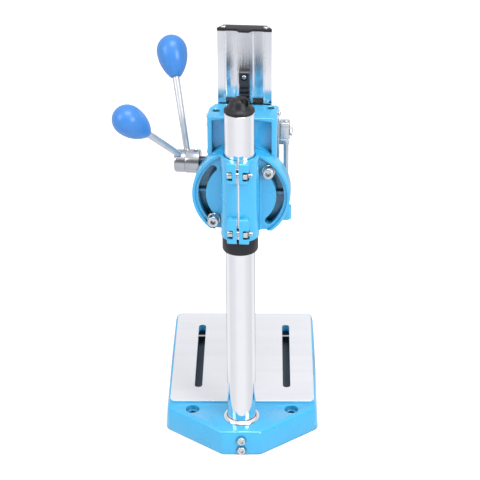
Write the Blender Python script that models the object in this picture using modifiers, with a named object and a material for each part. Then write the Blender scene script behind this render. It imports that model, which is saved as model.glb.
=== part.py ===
"""A bench drill stand: cast base, steel column, tilting clamp, rack-and-pinion slide and 43 mm collar.

Metres, +Z up. The origin is on the column's axis, in the plane of the bench. The operator stands at -Y,
and +X is the operator's right, the side of the feed levers. The head is built straight, along -Y, in a frame
that turns on the column, and stands turned by HEAD_SWIVEL_DEG.
"""

import math

import bmesh
import bpy
from mathutils import Matrix, Vector

# Shared fits and facets
GAP = 0.0003
OVERRUN = 0.004
ROUND_STEPS = 36
KNOB_FACETS = 28
SMALL_STEPS = 16
ARC_STEPS = 5
MERGE = 0.00001

# Column and its seat
COLUMN_RADIUS = 0.0175
COLUMN_WALL = 0.0025
SOCKET_FLOOR = 0.004
FOOT_RING_WIDTH = 0.0044
FOOT_RING_HEIGHT = 0.003
FOOT_RING_EDGE = 0.001

# Base casting
BASE_HALF_WIDTH = 0.093
NOSE_HALF_WIDTH = 0.02285
NOSE_Y = 0.0362
SHOULDER_Y = -0.019
BASE_FRONT_Y = -0.247
BASE_TOP = 0.032
BASE_DRAFT = 0.0024
BASE_EDGE = 0.0025
BASE_CORNER = 0.010
BASE_NOSE_CORNER = 0.005
BASE_WALL = 0.007
BASE_ROOF = 0.007
BASE_RELIEF = 0.0015
TABLE_HALF_WIDTH = 0.090
TABLE_BACK_Y = -0.0303
TABLE_FRONT_Y = -0.2444
TABLE_RISE = 0.002
TABLE_CORNER = 0.007
SLOT_X = 0.056
SLOT_BACK_Y = -0.0612
SLOT_FRONT_Y = -0.2149
SLOT_HALF_WIDTH = 0.0048
BENCH_HOLE_X = 0.0615
BENCH_HOLE_Y = -0.015
BENCH_HOLE_RADIUS = 0.00425
BENCH_SEAT_RADIUS = 0.0085
BENCH_SEAT_DEPTH = 0.006
BENCH_BOSS_RADIUS = 0.0125
SOCKET_BOSS_RADIUS = 0.0265
NOSE_BLOCK_HALF_WIDTH = 0.013
BASE_RIB = 0.005
BASE_SCREW_HEIGHTS = (0.021, 0.0075)
BASE_SCREW_RADIUS = 0.003
BASE_SCREW_HEAD_RADIUS = 0.005
BASE_SCREW_HEAD = 0.003

# Column cap
CAP_PLUG_LENGTH = 0.018
CAP_RIM_RADIUS = 0.0176
CAP_RIM = 0.003
CAP_DOME_RADIUS = 0.0095
CAP_DOME_RISE = 0.006
CAP_GRIP_HALF_LENGTH = 0.0115
CAP_GRIP_HALF_WIDTH = 0.0026
CAP_GRIP_RISE = 0.0175
CAP_GRIP_TURN_DEG = 25

# Head placing. In the head, sizes named ..._RISE are heights over the tilt axis, or below it if negative.
HEAD_SWIVEL_DEG = -4.6
TILT_HEIGHT = 0.3304
COLUMN_TOP_RISE = 0.1106
TILT_PLANE_Y = -0.022

# Stop ring
RING_OUTER_RADIUS = 0.021
RING_HEIGHT = 0.0188
RING_EDGE = 0.0012
RING_SCREW_RADIUS = 0.0024
RING_SCREW_PROUD = 0.002
RING_SCREW_DEG = 205

# Column clamp with its tilt plate
BORE_GAP = 0.0003
SLEEVE_RADIUS = 0.022
SLEEVE_TOP_RISE = 0.0581
PLATE_THICKNESS = 0.012
PLATE_RIM = 0.0035
PLATE_RECESS = 0.003
PLATE_FLAT = 0.0439
PLATE_EDGE = 0.001
WEB_HALF_WIDTH = 0.0242
TRACK_HALF_WIDTH = 0.0045
TRACK_HALF_ANGLE_DEG = 45
SPLIT_HALF_WIDTH = 0.0013
EAR_HALF_WIDTH = 0.013
EAR_Y = 0.028
EAR_EDGE = 0.0016
UPPER_EAR_BOTTOM_RISE = 0.0324
LOWER_EAR_TOP_RISE = -0.0124
POCKET_X = 0.0059
POCKET_HEIGHT = 0.011
BOLT_Y = 0.0233
BOLT_RISES = (0.0426, -0.0317)
BOLT_RADIUS = 0.003
BOLT_HEAD_RADIUS = 0.0048
BOLT_HEAD = 0.006
BOLT_STUB = 0.0055
NUT_RADIUS = 0.0055
NUT_THICKNESS = 0.005

# Tilt screws and washers
TILT_SCREW_RADIUS = 0.0039
TILT_HEAD_RADIUS = 0.0065
TILT_HEAD = 0.008
TILT_SCREW_GRIP = 0.013
WASHER_RADIUS = 0.0077
WASHER_THICKNESS = 0.0016
SOCKET_SHARE = 0.55
SOCKET_DEPTH_SHARE = 0.5

# Slide housing
HOUSING_HALF_WIDTH = 0.0402
HOUSING_BACK_Y = -0.0245
HOUSING_FRONT_Y = -0.0758
HOUSING_BOTTOM_RISE = -0.0429
HOUSING_TOP_RISE = 0.0926
HOUSING_CORNER = 0.005
HOUSING_EDGE = 0.0015
HOUSING_STEP_Y = -0.0625
HOUSING_STEP_DROP = 0.010
HOUSING_STEP_CORNERS = ((0.0067, 0.0150), (0.0032, 0.0030))
RECESS_Y = -0.034
RECESS_HALF_WIDTH = 0.0345
RECESS_SIDE_DROP = 0.0045
RECESS_MIDDLE_DROP = 0.0015
RECESS_FOOT = 0.0013
POCKET_RING_INNER = 0.0385
POCKET_RING_OUTER = 0.0525
POCKET_RING_DEPTH = 0.0047
POCKET_RIB = 0.0015
EAR_HOLE_RADIUS = 0.0042
EAR_HOLE_DEPTH = 0.012
EAR_HOLE_X = 0.031
EAR_HOLE_YS = (-0.0437, -0.0560)
EAR_SCREW_RADIUS = 0.0016
EAR_SCREW_HEAD_RADIUS = 0.003
EAR_SCREW_HEAD = 0.0024
EAR_SCREW_DROP = 0.007
EAR_SCREW_REACH = 0.012
GIB_SCREW_Y = -0.0667
GIB_SCREW_RISES = (0.0646, 0.0301)
GIB_SCREW_RADIUS = 0.0028
GIB_SCREW_LENGTH = 0.0125
GIB_SCREW_PROUD = 0.005
SCALE_BACK_Y = -0.045
SCALE_FRONT_Y = -0.056
SCALE_BOTTOM_RISE = 0.0196
SCALE_TOP_RISE = 0.0791
SCALE_THICKNESS = 0.0008
STOP_LUG_X = 0.052
STOP_LUG_LIFT = 0.0063
STOP_LUG_HEIGHT = 0.0062

# Slide extrusion, end cap and liners
SLIDE_BACK_Y = -0.0648
SLIDE_FRONT_Y = -0.0773
SLIDE_HALF_WIDTH = 0.0312
SLIDE_FRONT_HALF_WIDTH = 0.0247
SLIDE_RIB_X = 0.0092
SLIDE_FLANGE_X = 0.0217
SLIDE_TRACK_DEPTH = 0.006
SLIDE_SHOULDER = 0.002
SLIDE_BOTTOM_RISE = -0.0534
SLIDE_TOP_RISE = 0.1815
CHAMBER_INNER_X = 0.010
CHAMBER_OUTER_X = 0.0195
CHAMBER_BACK_Y = -0.0725
CHAMBER_FRONT_Y = -0.0757
END_CAP_THICKNESS = 0.003
END_CAP_NOSE_Y = -0.0595
END_CAP_NOSE_HALF_WIDTH = 0.0055
END_CAP_NOSE_FOOT = 0.0092
CAP_SCREW_X = 0.0245
CAP_SCREW_Y = -0.0696
CAP_SCREW_RADIUS = 0.0015
CAP_SCREW_HEAD_RADIUS = 0.0031
CAP_SCREW_HEAD = 0.0016
CAP_SCREW_LENGTH = 0.012
LINER_SIDE_ROOM = 0.0005
LINER_CLEARANCE = 0.00425
LINER_PROUD = 0.003

# Rack and pinion
MODULE = 0.00175
PINION_TEETH = 12
PRESSURE_ANGLE_DEG = 20
BACKLASH = 0.0004
AXIS_SLACK = 0.0002
RACK_HALF_WIDTH = 0.006
RACK_TIP_Y = -0.0574
RACK_BACK_Y = -0.0665
RACK_BOTTOM_RISE = 0.0036
RACK_TOP_RISE = 0.1393
RACK_PLAIN_BOTTOM = 0.0115
RACK_PLAIN_TOP = 0.0205
RACK_SCREW_RADIUS = 0.002
RACK_SCREW_HEAD_RADIUS = 0.0031
RACK_SCREW_SEAT_RADIUS = 0.0042
RACK_SCREW_HEAD = 0.0025
RACK_SCREW_LENGTH = 0.0085
PINION_RISE = 0.0245
PINION_HALF_WIDTH = 0.0065
PINION_ROOM = 0.0006
SHAFT_RADIUS = 0.006
SHAFT_HUB_RADIUS = 0.005
BUSH_WALL = 0.003
SMALL_BUSH_LENGTH = 0.0145

# Feed hub, levers and knobs
HUB_RADIUS = 0.014
HUB_INNER_X = 0.0509
HUB_OUTER_X = 0.0815
HUB_STEP_X = 0.0682
HUB_STEP = 0.0006
HUB_EDGE = 0.002
HUB_SEAT = 0.012
HUB_SCREW_X = 0.0560
HUB_SCREW_RADIUS = 0.0018
LEVER_ROOT_X = (0.0650, 0.0596)
LEVER_LIFT_DEG = (114, 64.4)
LEVER_SPLAY_DEG = (7.6, 45.8)
LEVER_REACH = (0.094, 0.0675)
LEVER_SEAT = 0.0068
ROD_ROOT_RADIUS = 0.0036
ROD_TIP_RADIUS = 0.0042
ROD_IN_KNOB = 0.020
KNOB_RADIUS = 0.018
KNOB_LENGTH = 0.0505
KNOB_MOUTH_RADIUS = 0.0066
KNOB_WIDEST_SHARE = 0.62
KNOB_STEPS = 7
KNOB_FULLNESS = 2.2
FERRULE_WALL = 0.001
FERRULE_LENGTH = 0.004

# Drill collar, its screws and the depth stop
COLLAR_BORE_RADIUS = 0.0215
COLLAR_WALL = 0.008
COLLAR_Y = -0.1135
COLLAR_BOTTOM_RISE = -0.0539
COLLAR_HEIGHT = 0.030
COLLAR_SPLIT = 0.0015
COLLAR_WEB_HALF_WIDTH = 0.020
COLLAR_LUG_HALF_WIDTH = 0.011
COLLAR_LUG_Y = -0.156
COLLAR_LUG_INSET = 0.004
COLLAR_SCREW_Y = -0.149
COLLAR_SCREW_RADIUS = 0.003
COLLAR_SCREW_HEAD_RADIUS = 0.005
COLLAR_SCREW_HEAD = 0.006
COLLAR_SCREW_STUB = 0.002
FOOT_HALF_WIDTH = 0.031
FOOT_THICKNESS = 0.009
FOOT_TOP_RISE = 0.0076
FOOT_EDGE = 0.003
FOOT_SCREW_RISES = (-0.0029, -0.0169)
FOOT_SCREW_RADIUS = 0.0025
FOOT_SCREW_HEAD_RADIUS = 0.0043
FOOT_SCREW_HEAD = 0.0045
FOOT_SCREW_GRIP = 0.0055
ARM_BOTTOM_RISE = -0.0547
ARM_HEIGHT = 0.0105
DEPTH_ROD_RADIUS = 0.003
DEPTH_ROD_X = -0.0483
DEPTH_ROD_Y = -0.066
DEPTH_ROD_TOP_RISE = 0.0731
ROD_BOSS_RADIUS = 0.007
ROD_BOSS_HEIGHT = 0.0158
ROD_SCREW_RADIUS = 0.0016
ROD_SCREW_PROUD = 0.0006
BLOCK_OUTER_X = 0.0524
BLOCK_GAP = 0.0005
BLOCK_HALF_DEPTH = 0.0065
BLOCK_BOTTOM_RISE = 0.0441
BLOCK_HEIGHT = 0.0275
BLOCK_EDGE = 0.0012
THUMB_RISE = 0.0606
THUMB_RADIUS = 0.0068
THUMB_THICKNESS = 0.0033
THUMB_SHANK_RADIUS = 0.002

# Derived places and sizes
BORE_RADIUS = COLUMN_RADIUS + BORE_GAP
TABLE_TOP = BASE_TOP + TABLE_RISE
PLATE_BOTTOM = TILT_HEIGHT - PLATE_FLAT
RING_TOP = PLATE_BOTTOM - GAP
COLUMN_TOP = TILT_HEIGHT + COLUMN_TOP_RISE
SLEEVE_TOP = TILT_HEIGHT + SLEEVE_TOP_RISE
UPPER_EAR_BOTTOM = TILT_HEIGHT + UPPER_EAR_BOTTOM_RISE
LOWER_EAR_TOP = TILT_HEIGHT + LOWER_EAR_TOP_RISE
BOLT_HEIGHTS = tuple(TILT_HEIGHT + rise for rise in BOLT_RISES)
HOUSING_BOTTOM = TILT_HEIGHT + HOUSING_BOTTOM_RISE
HOUSING_TOP = TILT_HEIGHT + HOUSING_TOP_RISE
SCALE_BOTTOM = TILT_HEIGHT + SCALE_BOTTOM_RISE
SCALE_TOP = TILT_HEIGHT + SCALE_TOP_RISE
SLIDE_BOTTOM = TILT_HEIGHT + SLIDE_BOTTOM_RISE
SLIDE_TOP = TILT_HEIGHT + SLIDE_TOP_RISE
LINER_TOP = HOUSING_TOP + LINER_PROUD
RACK_BOTTOM = TILT_HEIGHT + RACK_BOTTOM_RISE
RACK_TOP = TILT_HEIGHT + RACK_TOP_RISE
PINION_HEIGHT = TILT_HEIGHT + PINION_RISE
COLLAR_BOTTOM = TILT_HEIGHT + COLLAR_BOTTOM_RISE
FOOT_TOP = TILT_HEIGHT + FOOT_TOP_RISE
ARM_BOTTOM = TILT_HEIGHT + ARM_BOTTOM_RISE
DEPTH_ROD_TOP = TILT_HEIGHT + DEPTH_ROD_TOP_RISE
BLOCK_BOTTOM = TILT_HEIGHT + BLOCK_BOTTOM_RISE
THUMB_HEIGHT = TILT_HEIGHT + THUMB_RISE
GIB_SCREW_HEIGHTS = tuple(TILT_HEIGHT + rise for rise in GIB_SCREW_RISES)
FOOT_SCREW_HEIGHTS = tuple(TILT_HEIGHT + rise for rise in FOOT_SCREW_RISES)
PLATE_FACE_Y = TILT_PLANE_Y + PLATE_THICKNESS - PLATE_RECESS
TRACK_OFFSET = WEB_HALF_WIDTH + WASHER_RADIUS + GAP
TRACK_RADIUS = TRACK_OFFSET / math.sin(math.radians(TRACK_HALF_ANGLE_DEG))
PLATE_RADIUS = TRACK_RADIUS + WASHER_RADIUS + GAP + PLATE_RIM
PITCH_RADIUS = MODULE * PINION_TEETH / 2
TIP_RADIUS = PITCH_RADIUS + MODULE
PINION_Y = RACK_TIP_Y - MODULE + PITCH_RADIUS + AXIS_SLACK
RACK_PITCH = math.pi * MODULE
TOOTH_DEPTH = 2.25 * MODULE
PINION_CAVITY = TIP_RADIUS + PINION_ROOM
LINER_BOTTOM = PINION_HEIGHT + PINION_CAVITY + LINER_CLEARANCE
STOP_LUG_BOTTOM = HOUSING_BOTTOM + STOP_LUG_LIFT
STOP_LUG_TOP = STOP_LUG_BOTTOM + STOP_LUG_HEIGHT
COLLAR_RADIUS = COLLAR_BORE_RADIUS + COLLAR_WALL
COLLAR_TOP = COLLAR_BOTTOM + COLLAR_HEIGHT
FOOT_BACK_Y = SLIDE_FRONT_Y - GAP
FOOT_FACE_Y = FOOT_BACK_Y - FOOT_THICKNESS
X_AXIS = Vector((1, 0, 0))
Y_AXIS = Vector((0, 1, 0))
Z_AXIS = Vector((0, 0, 1))

parts = bpy.data.collections.new("drill_stand")
cutters = bpy.data.collections.new("cutters")


def clear_scene():
    """Removes what the file opened with and links the two collections."""
    for obj in list(bpy.data.objects):
        bpy.data.objects.remove(obj, do_unlink=True)
    for group in (parts, cutters):
        bpy.context.scene.collection.children.link(group)


def material(name, colour, roughness, metallic):
    """A Principled finish."""
    finish = bpy.data.materials.new(name)
    finish.use_nodes = True
    shader = finish.node_tree.nodes["Principled BSDF"]
    shader.inputs["Base Color"].default_value = (*colour, 1)
    shader.inputs["Roughness"].default_value = roughness
    shader.inputs["Metallic"].default_value = metallic
    finish.diffuse_color = (*colour, 1)
    return finish


PAINT = material("blue_paint", (0.07, 0.42, 0.84), 0.32, 0.0)
CHROME = material("chromed_steel", (0.86, 0.87, 0.90), 0.16, 1.0)
ZINC = material("zinc_plated_steel", (0.72, 0.72, 0.70), 0.30, 1.0)
MACHINED = material("milled_aluminium", (0.83, 0.83, 0.86), 0.34, 0.9)
BLACK = material("black_plastic", (0.035, 0.035, 0.04), 0.45, 0.0)
RACK_STEEL = material("blackened_steel", (0.09, 0.09, 0.10), 0.40, 0.8)
KNOB_BLUE = material("knob_plastic", (0.05, 0.22, 0.72), 0.38, 0.0)
BRONZE = material("bearing_bronze", (0.55, 0.36, 0.14), 0.35, 1.0)


def frame(name, parent, offset, turn_deg=0.0):
    """An empty on a joint's axis; offset is its place in the head's straight frame."""
    empty = bpy.data.objects.new(name, None)
    parts.objects.link(empty)
    empty.empty_display_size = COLUMN_RADIUS
    empty.parent = parent
    base = Vector(parent["head_place"]) if parent else Vector((0, 0, 0))
    empty.location = offset - base
    empty.rotation_euler.z = math.radians(turn_deg)
    empty["head_place"] = offset
    return empty


def add(name, mesh, finish, parent=None, place=None, helper=False):
    """An object with that mesh, placed in its frame; a helper is a cutter or a piece to be joined."""
    obj = bpy.data.objects.new(name, mesh)
    (cutters if helper else parts).objects.link(obj)
    obj.parent = parent
    if parent:
        obj.matrix_parent_inverse = Matrix.Translation(-Vector(parent["head_place"]))
    obj.matrix_basis = place or Matrix.Identity(4)
    if helper:
        obj.hide_render = True
        obj.display_type = "WIRE"
    else:
        obj.data.materials.append(finish)
        obj.data.shade_smooth()
        obj.data.set_sharp_from_angle(angle=math.radians(35))
    return obj


def mesh_of(name, shape):
    """The finished mesh of a bmesh, welded and with its faces out."""
    bmesh.ops.remove_doubles(shape, verts=shape.verts, dist=MERGE)
    bmesh.ops.recalc_face_normals(shape, faces=shape.faces)
    mesh = bpy.data.meshes.new(name)
    shape.to_mesh(mesh)
    shape.free()
    return mesh


def block(low, high):
    """A box mesh between two corners."""
    low, high = Vector(low), Vector(high)
    shape = bmesh.new()
    size = Matrix.Diagonal((*(high - low), 1))
    bmesh.ops.create_cube(shape, size=1, matrix=Matrix.Translation((low + high) / 2) @ size)
    return mesh_of("block", shape)


def rod(radius, start, end, steps=SMALL_STEPS, end_radius=None):
    """A solid cylinder or cone mesh from one point to another."""
    start, end = Vector(start), Vector(end)
    shape = bmesh.new()
    bmesh.ops.create_cone(
        shape,
        cap_ends=True,
        segments=steps,
        radius1=radius,
        radius2=radius if end_radius is None else end_radius,
        depth=(end - start).length,
        matrix=along((start + end) / 2, end - start),
    )
    return mesh_of("rod", shape)


def along(point, direction):
    """A placement at a point, with Z along a direction."""
    return Matrix.Translation(point) @ Vector(direction).to_track_quat("Z", "Y").to_matrix().to_4x4()


def plate(outline, low, high):
    """A flat outline in XY given thickness along Z, from low to high."""
    curve = bpy.data.curves.new("outline", "CURVE")
    curve.dimensions = "2D"
    curve.fill_mode = "BOTH"
    curve.extrude = (high - low) / 2
    spline = curve.splines.new("POLY")
    spline.points.add(len(outline) - 1)
    for point, (x, y) in zip(spline.points, outline):
        point.co = (x, y, 0, 1)
    spline.use_cyclic_u = True
    guide = bpy.data.objects.new("outline", curve)
    bpy.context.scene.collection.objects.link(guide)
    bpy.context.view_layer.update()
    flat = bpy.data.meshes.new_from_object(guide.evaluated_get(bpy.context.evaluated_depsgraph_get()))
    shape = bmesh.new()
    shape.from_mesh(flat)
    bmesh.ops.translate(shape, verts=shape.verts, vec=(0, 0, (low + high) / 2))
    bpy.data.objects.remove(guide)
    bpy.data.curves.remove(curve)
    return mesh_of("plate", shape)


def turned(name, profile, finish, parent=None, place=None, helper=False, closed=False, steps=ROUND_STEPS):
    """A profile of (radius, height) points turned about Z, listed down its outer side."""
    mesh = bpy.data.meshes.new(name)
    edges = [(i, i + 1) for i in range(len(profile) - 1)]
    if closed:
        edges.append((len(profile) - 1, 0))
    mesh.from_pydata([(r, 0, z) for r, z in profile], edges, [])
    obj = add(name, mesh, finish, parent, place, helper)
    screw = obj.modifiers.new("turn", "SCREW")
    screw.steps = screw.render_steps = steps
    screw.use_merge_vertices = True
    screw.merge_threshold = MERGE
    screw.use_smooth_shade = True
    return obj


def tube(name, inner, outer, low, high, finish, parent=None, place=None, steps=ROUND_STEPS):
    """A plain ring or tube about Z."""
    profile = [(outer, high), (outer, low), (inner, low), (inner, high)]
    return turned(name, profile, finish, parent, place, closed=True, steps=steps)


def combine(target, mesh, operation, parent=None, place=None):
    """Joins a mesh to a piece, cuts it out of it, or keeps what they share, and returns the helper."""
    helper = add(target.name + "_" + operation.lower(), mesh, None, parent or target.parent, place, True)
    apply_helper(target, helper, operation)
    return helper


def apply_helper(target, helper, operation):
    """Adds the Boolean of a helper object."""
    boolean = target.modifiers.new(operation.lower(), "BOOLEAN")
    boolean.operation = operation
    boolean.solver = "EXACT"
    boolean.object = helper


def cut(target, mesh, place=None):
    """Cuts a mesh out of a piece."""
    return combine(target, mesh, "DIFFERENCE", place=place)


def join(target, mesh, place=None):
    """Joins a mesh to a piece."""
    return combine(target, mesh, "UNION", place=place)


def round_edges(obj, width, steps=2):
    """Rounds the sharp edges of a plain block."""
    bevel = obj.modifiers.new("round", "BEVEL")
    bevel.width = width
    bevel.segments = steps
    bevel.limit_method = "ANGLE"
    return obj


def arc(centre, radius, start_deg, end_deg, steps=ARC_STEPS):
    """Points along a circular arc."""
    angles = [math.radians(start_deg + (end_deg - start_deg) * i / steps) for i in range(steps + 1)]
    return [(centre[0] + radius * math.cos(a), centre[1] + radius * math.sin(a)) for a in angles]


def rounded(corners, radii, grow=0.0):
    """A convex outline, listed anticlockwise, with its edges moved out by grow and its corners rounded."""
    count = len(corners)
    points = [Vector(corner) for corner in corners]
    sides = [(points[(i + 1) % count] - points[i]).normalized() for i in range(count)]
    outline = []
    for i in range(count):
        before, after = sides[i - 1], sides[i]
        turn = before.angle_signed(after)
        turn = abs(turn)
        reach = grow / math.cos(turn / 2)
        out = (Vector((before.y, -before.x)) + Vector((after.y, -after.x))).normalized()
        corner_radius = radii[i] + grow
        centre = points[i] + out * (reach - corner_radius / math.cos(turn / 2))
        middle = math.degrees(math.atan2(out.y, out.x))
        half = math.degrees(turn) / 2
        outline += arc(centre, corner_radius, middle - half, middle + half)
    return outline


def loft(sections):
    """A closed solid through outlines of equal count, each with its height, bottom first."""
    shape = bmesh.new()
    rings = []
    for outline, height in sections:
        ring = [shape.verts.new((x, y, height)) for x, y in outline]
        rings.append([shape.edges.new((ring[i - 1], ring[i])) for i in range(len(ring))])
    for lower, upper in zip(rings, rings[1:]):
        bmesh.ops.bridge_loops(shape, edges=lower + upper)
    for ring in (rings[0], rings[-1]):
        bmesh.ops.contextual_create(shape, geom=ring)
    return mesh_of("loft", shape)


def base_outline(grow, nose_corner=BASE_NOSE_CORNER):
    """The base's outline at its top, moved out by grow: pointed at the back, square at the front."""
    corners = [
        (-NOSE_HALF_WIDTH, NOSE_Y),
        (-BASE_HALF_WIDTH, SHOULDER_Y),
        (-BASE_HALF_WIDTH, BASE_FRONT_Y),
        (BASE_HALF_WIDTH, BASE_FRONT_Y),
        (BASE_HALF_WIDTH, SHOULDER_Y),
        (NOSE_HALF_WIDTH, NOSE_Y),
    ]
    return rounded(corners, [nose_corner] + [BASE_CORNER] * 4 + [nose_corner], grow)


def rectangle(left, back, right, front, radius, grow=0.0):
    """A rounded rectangle outline in XY."""
    return rounded([(left, back), (left, front), (right, front), (right, back)], [radius] * 4, grow)


def make_base():
    """The hollow casting with its milled table, slots, bench holes and column socket."""
    sections = [
        (base_outline(BASE_DRAFT), 0.0),
        (base_outline(BASE_EDGE / BASE_TOP * BASE_DRAFT), BASE_TOP - BASE_EDGE),
        (base_outline(-BASE_EDGE * (1 - math.sqrt(0.5))), BASE_TOP - BASE_EDGE * (1 - math.sqrt(0.5))),
        (base_outline(-BASE_EDGE), BASE_TOP),
    ]
    base = add("base_casting", loft(sections), PAINT)
    roof = BASE_TOP - BASE_ROOF
    cut(base, plate(base_outline(-BASE_WALL, BASE_CORNER), -OVERRUN, roof))
    table = (-TABLE_HALF_WIDTH, TABLE_BACK_Y, TABLE_HALF_WIDTH, TABLE_FRONT_Y)
    raised = [
        (rectangle(*table, TABLE_CORNER, TABLE_RISE), BASE_TOP - TABLE_RISE),
        (rectangle(*table, TABLE_CORNER, TABLE_RISE / 2), BASE_TOP),
        (rectangle(*table, TABLE_CORNER), TABLE_TOP),
    ]
    join(base, loft(raised))
    join(base, rod(SOCKET_BOSS_RADIUS, (0, 0, 0), (0, 0, roof + BASE_ROOF / 2), ROUND_STEPS))
    nose_inside = NOSE_Y - BASE_WALL / 2
    over = roof + BASE_ROOF / 2
    join(base, block((-NOSE_BLOCK_HALF_WIDTH, 0, 0), (NOSE_BLOCK_HALF_WIDTH, nose_inside, over)))
    rib_end = BASE_FRONT_Y + BASE_WALL / 2
    join(base, block((-BASE_RIB / 2, rib_end, BASE_RELIEF), (BASE_RIB / 2, 0, roof + BASE_ROOF / 2)))
    for side in (-1, 1):
        at = Vector((side * BENCH_HOLE_X, BENCH_HOLE_Y, 0))
        join(base, rod(BENCH_BOSS_RADIUS, at, at + Z_AXIS * (roof + BASE_ROOF / 2), SMALL_STEPS))
        cut(base, rod(BENCH_HOLE_RADIUS, at - Z_AXIS * OVERRUN, at + Z_AXIS * (BASE_TOP + OVERRUN)))
        seat = at + Z_AXIS * (BASE_TOP - BENCH_SEAT_DEPTH)
        cut(base, rod(BENCH_SEAT_RADIUS, seat, at + Z_AXIS * (BASE_TOP + OVERRUN)))
        slot = rectangle(
            side * SLOT_X - SLOT_HALF_WIDTH,
            SLOT_BACK_Y,
            side * SLOT_X + SLOT_HALF_WIDTH,
            SLOT_FRONT_Y,
            SLOT_HALF_WIDTH * 0.8,
        )
        cut(base, plate(slot, roof - OVERRUN, TABLE_TOP + OVERRUN))
    cut(base, rod(BORE_RADIUS, (0, 0, SOCKET_FLOOR), (0, 0, BASE_TOP + OVERRUN), ROUND_STEPS))
    for height in BASE_SCREW_HEIGHTS:
        cut(base, rod(BASE_SCREW_RADIUS + GAP, (0, 0, height), (0, NOSE_Y + OVERRUN, height)))
    relief_edge = BASE_HALF_WIDTH - 2 * BASE_CORNER
    cut(
        base,
        block(
            (-relief_edge, BASE_FRONT_Y - OVERRUN, -OVERRUN),
            (relief_edge, BASE_FRONT_Y + BASE_WALL + OVERRUN, BASE_RELIEF),
        ),
    )
    return base


def socket_screw(name, head_radius, head, radius, length, finish, parent, place):
    """A cap screw whose head stands on Z = 0 and whose shank goes down, with a hexagon socket."""
    profile = [(0, head), (head_radius * 0.9, head), (head_radius, head * 0.85), (head_radius, 0)]
    profile += [(radius, 0), (radius, -length), (0, -length)]
    screw = turned(name, profile, finish, parent, place, steps=SMALL_STEPS)
    depth = head * SOCKET_DEPTH_SHARE
    cut(screw, rod(head_radius * SOCKET_SHARE, (0, 0, head - depth), (0, 0, head + OVERRUN), 6), place)
    return screw


def make_column():
    """The column, the rosette round its foot, the screws that hold it, and the cap on its top."""
    inner = COLUMN_RADIUS - COLUMN_WALL
    tube("column_tube", inner, COLUMN_RADIUS, SOCKET_FLOOR + GAP, COLUMN_TOP, CHROME)
    foot = BASE_TOP + GAP
    outer = BORE_RADIUS + FOOT_RING_WIDTH
    rosette = [
        (BORE_RADIUS + FOOT_RING_EDGE, foot + FOOT_RING_HEIGHT),
        (outer - FOOT_RING_EDGE, foot + FOOT_RING_HEIGHT / 2),
        (outer, foot + FOOT_RING_EDGE / 2),
        (outer, foot),
        (BORE_RADIUS, foot),
        (BORE_RADIUS, foot + FOOT_RING_HEIGHT - FOOT_RING_EDGE / 2),
    ]
    turned("foot_ring", rosette, CHROME, closed=True)
    for name, height in zip(("upper", "lower"), BASE_SCREW_HEIGHTS):
        face = NOSE_Y + BASE_DRAFT + GAP
        shank = face - COLUMN_RADIUS - GAP
        socket_screw(
            "base_screw_" + name,
            BASE_SCREW_HEAD_RADIUS,
            BASE_SCREW_HEAD,
            BASE_SCREW_RADIUS,
            shank,
            ZINC,
            None,
            along((0, face, height), Y_AXIS),
        )
    make_column_cap(inner)


def make_column_cap(inner):
    """The plastic cap: a plug, a rim as wide as the column, a dome and a finger grip across it."""
    seat = COLUMN_TOP + GAP
    rim = seat + CAP_RIM
    profile = [
        (0, rim + CAP_DOME_RISE),
        (CAP_DOME_RADIUS * 0.7, rim + CAP_DOME_RISE * 0.85),
        (CAP_DOME_RADIUS, rim + CAP_DOME_RISE * 0.4),
        (CAP_RIM_RADIUS - CAP_RIM / 2, rim),
        (CAP_RIM_RADIUS, rim - CAP_RIM / 3),
        (CAP_RIM_RADIUS, seat),
        (inner - GAP, seat),
        (inner - GAP, seat - CAP_PLUG_LENGTH),
        (0, seat - CAP_PLUG_LENGTH),
    ]
    cap = turned("column_cap", profile, BLACK)
    low = rim - CAP_RIM / 2
    peak = rim + CAP_GRIP_RISE
    grip = [
        (rectangle_at(CAP_GRIP_HALF_LENGTH, CAP_GRIP_HALF_WIDTH * 1.5), low),
        (rectangle_at(CAP_GRIP_HALF_LENGTH, CAP_GRIP_HALF_WIDTH * 1.1), rim + CAP_GRIP_RISE * 0.4),
        (rectangle_at(CAP_GRIP_HALF_LENGTH * 0.7, CAP_GRIP_HALF_WIDTH), rim + CAP_GRIP_RISE * 0.85),
        (rectangle_at(CAP_GRIP_HALF_LENGTH * 0.45, CAP_GRIP_HALF_WIDTH * 0.6), peak),
    ]
    join(cap, loft(grip), Matrix.Rotation(math.radians(CAP_GRIP_TURN_DEG), 4, "Z"))


def rectangle_at(half_length, half_width):
    """A rounded rectangle about the origin."""
    return rectangle(-half_length, half_width, half_length, -half_width, half_width * 0.8)


def make_stop_ring(head):
    """The plastic ring that sets the head's height, and its screw."""
    low = RING_TOP - RING_HEIGHT
    profile = [
        (RING_OUTER_RADIUS - RING_EDGE / 2, RING_TOP),
        (RING_OUTER_RADIUS, RING_TOP - RING_EDGE),
        (RING_OUTER_RADIUS, low + RING_EDGE),
        (RING_OUTER_RADIUS - RING_EDGE, low),
        (BORE_RADIUS, low),
        (BORE_RADIUS, RING_TOP),
    ]
    ring = turned("stop_ring", profile, BLACK, head, closed=True)
    turn = math.radians(RING_SCREW_DEG)
    outward = Vector((math.cos(turn), math.sin(turn), 0))
    centre = Z_AXIS * (RING_TOP - RING_SCREW_RADIUS * 1.6)
    far = RING_OUTER_RADIUS + RING_SCREW_PROUD
    hole = rod(RING_SCREW_RADIUS + GAP, centre + outward * COLUMN_RADIUS, centre + outward * (far + OVERRUN))
    cut(ring, hole)
    mesh = rod(RING_SCREW_RADIUS, centre + outward * BORE_RADIUS, centre + outward * far)
    add("stop_ring_screw", mesh, ZINC, head)


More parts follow.
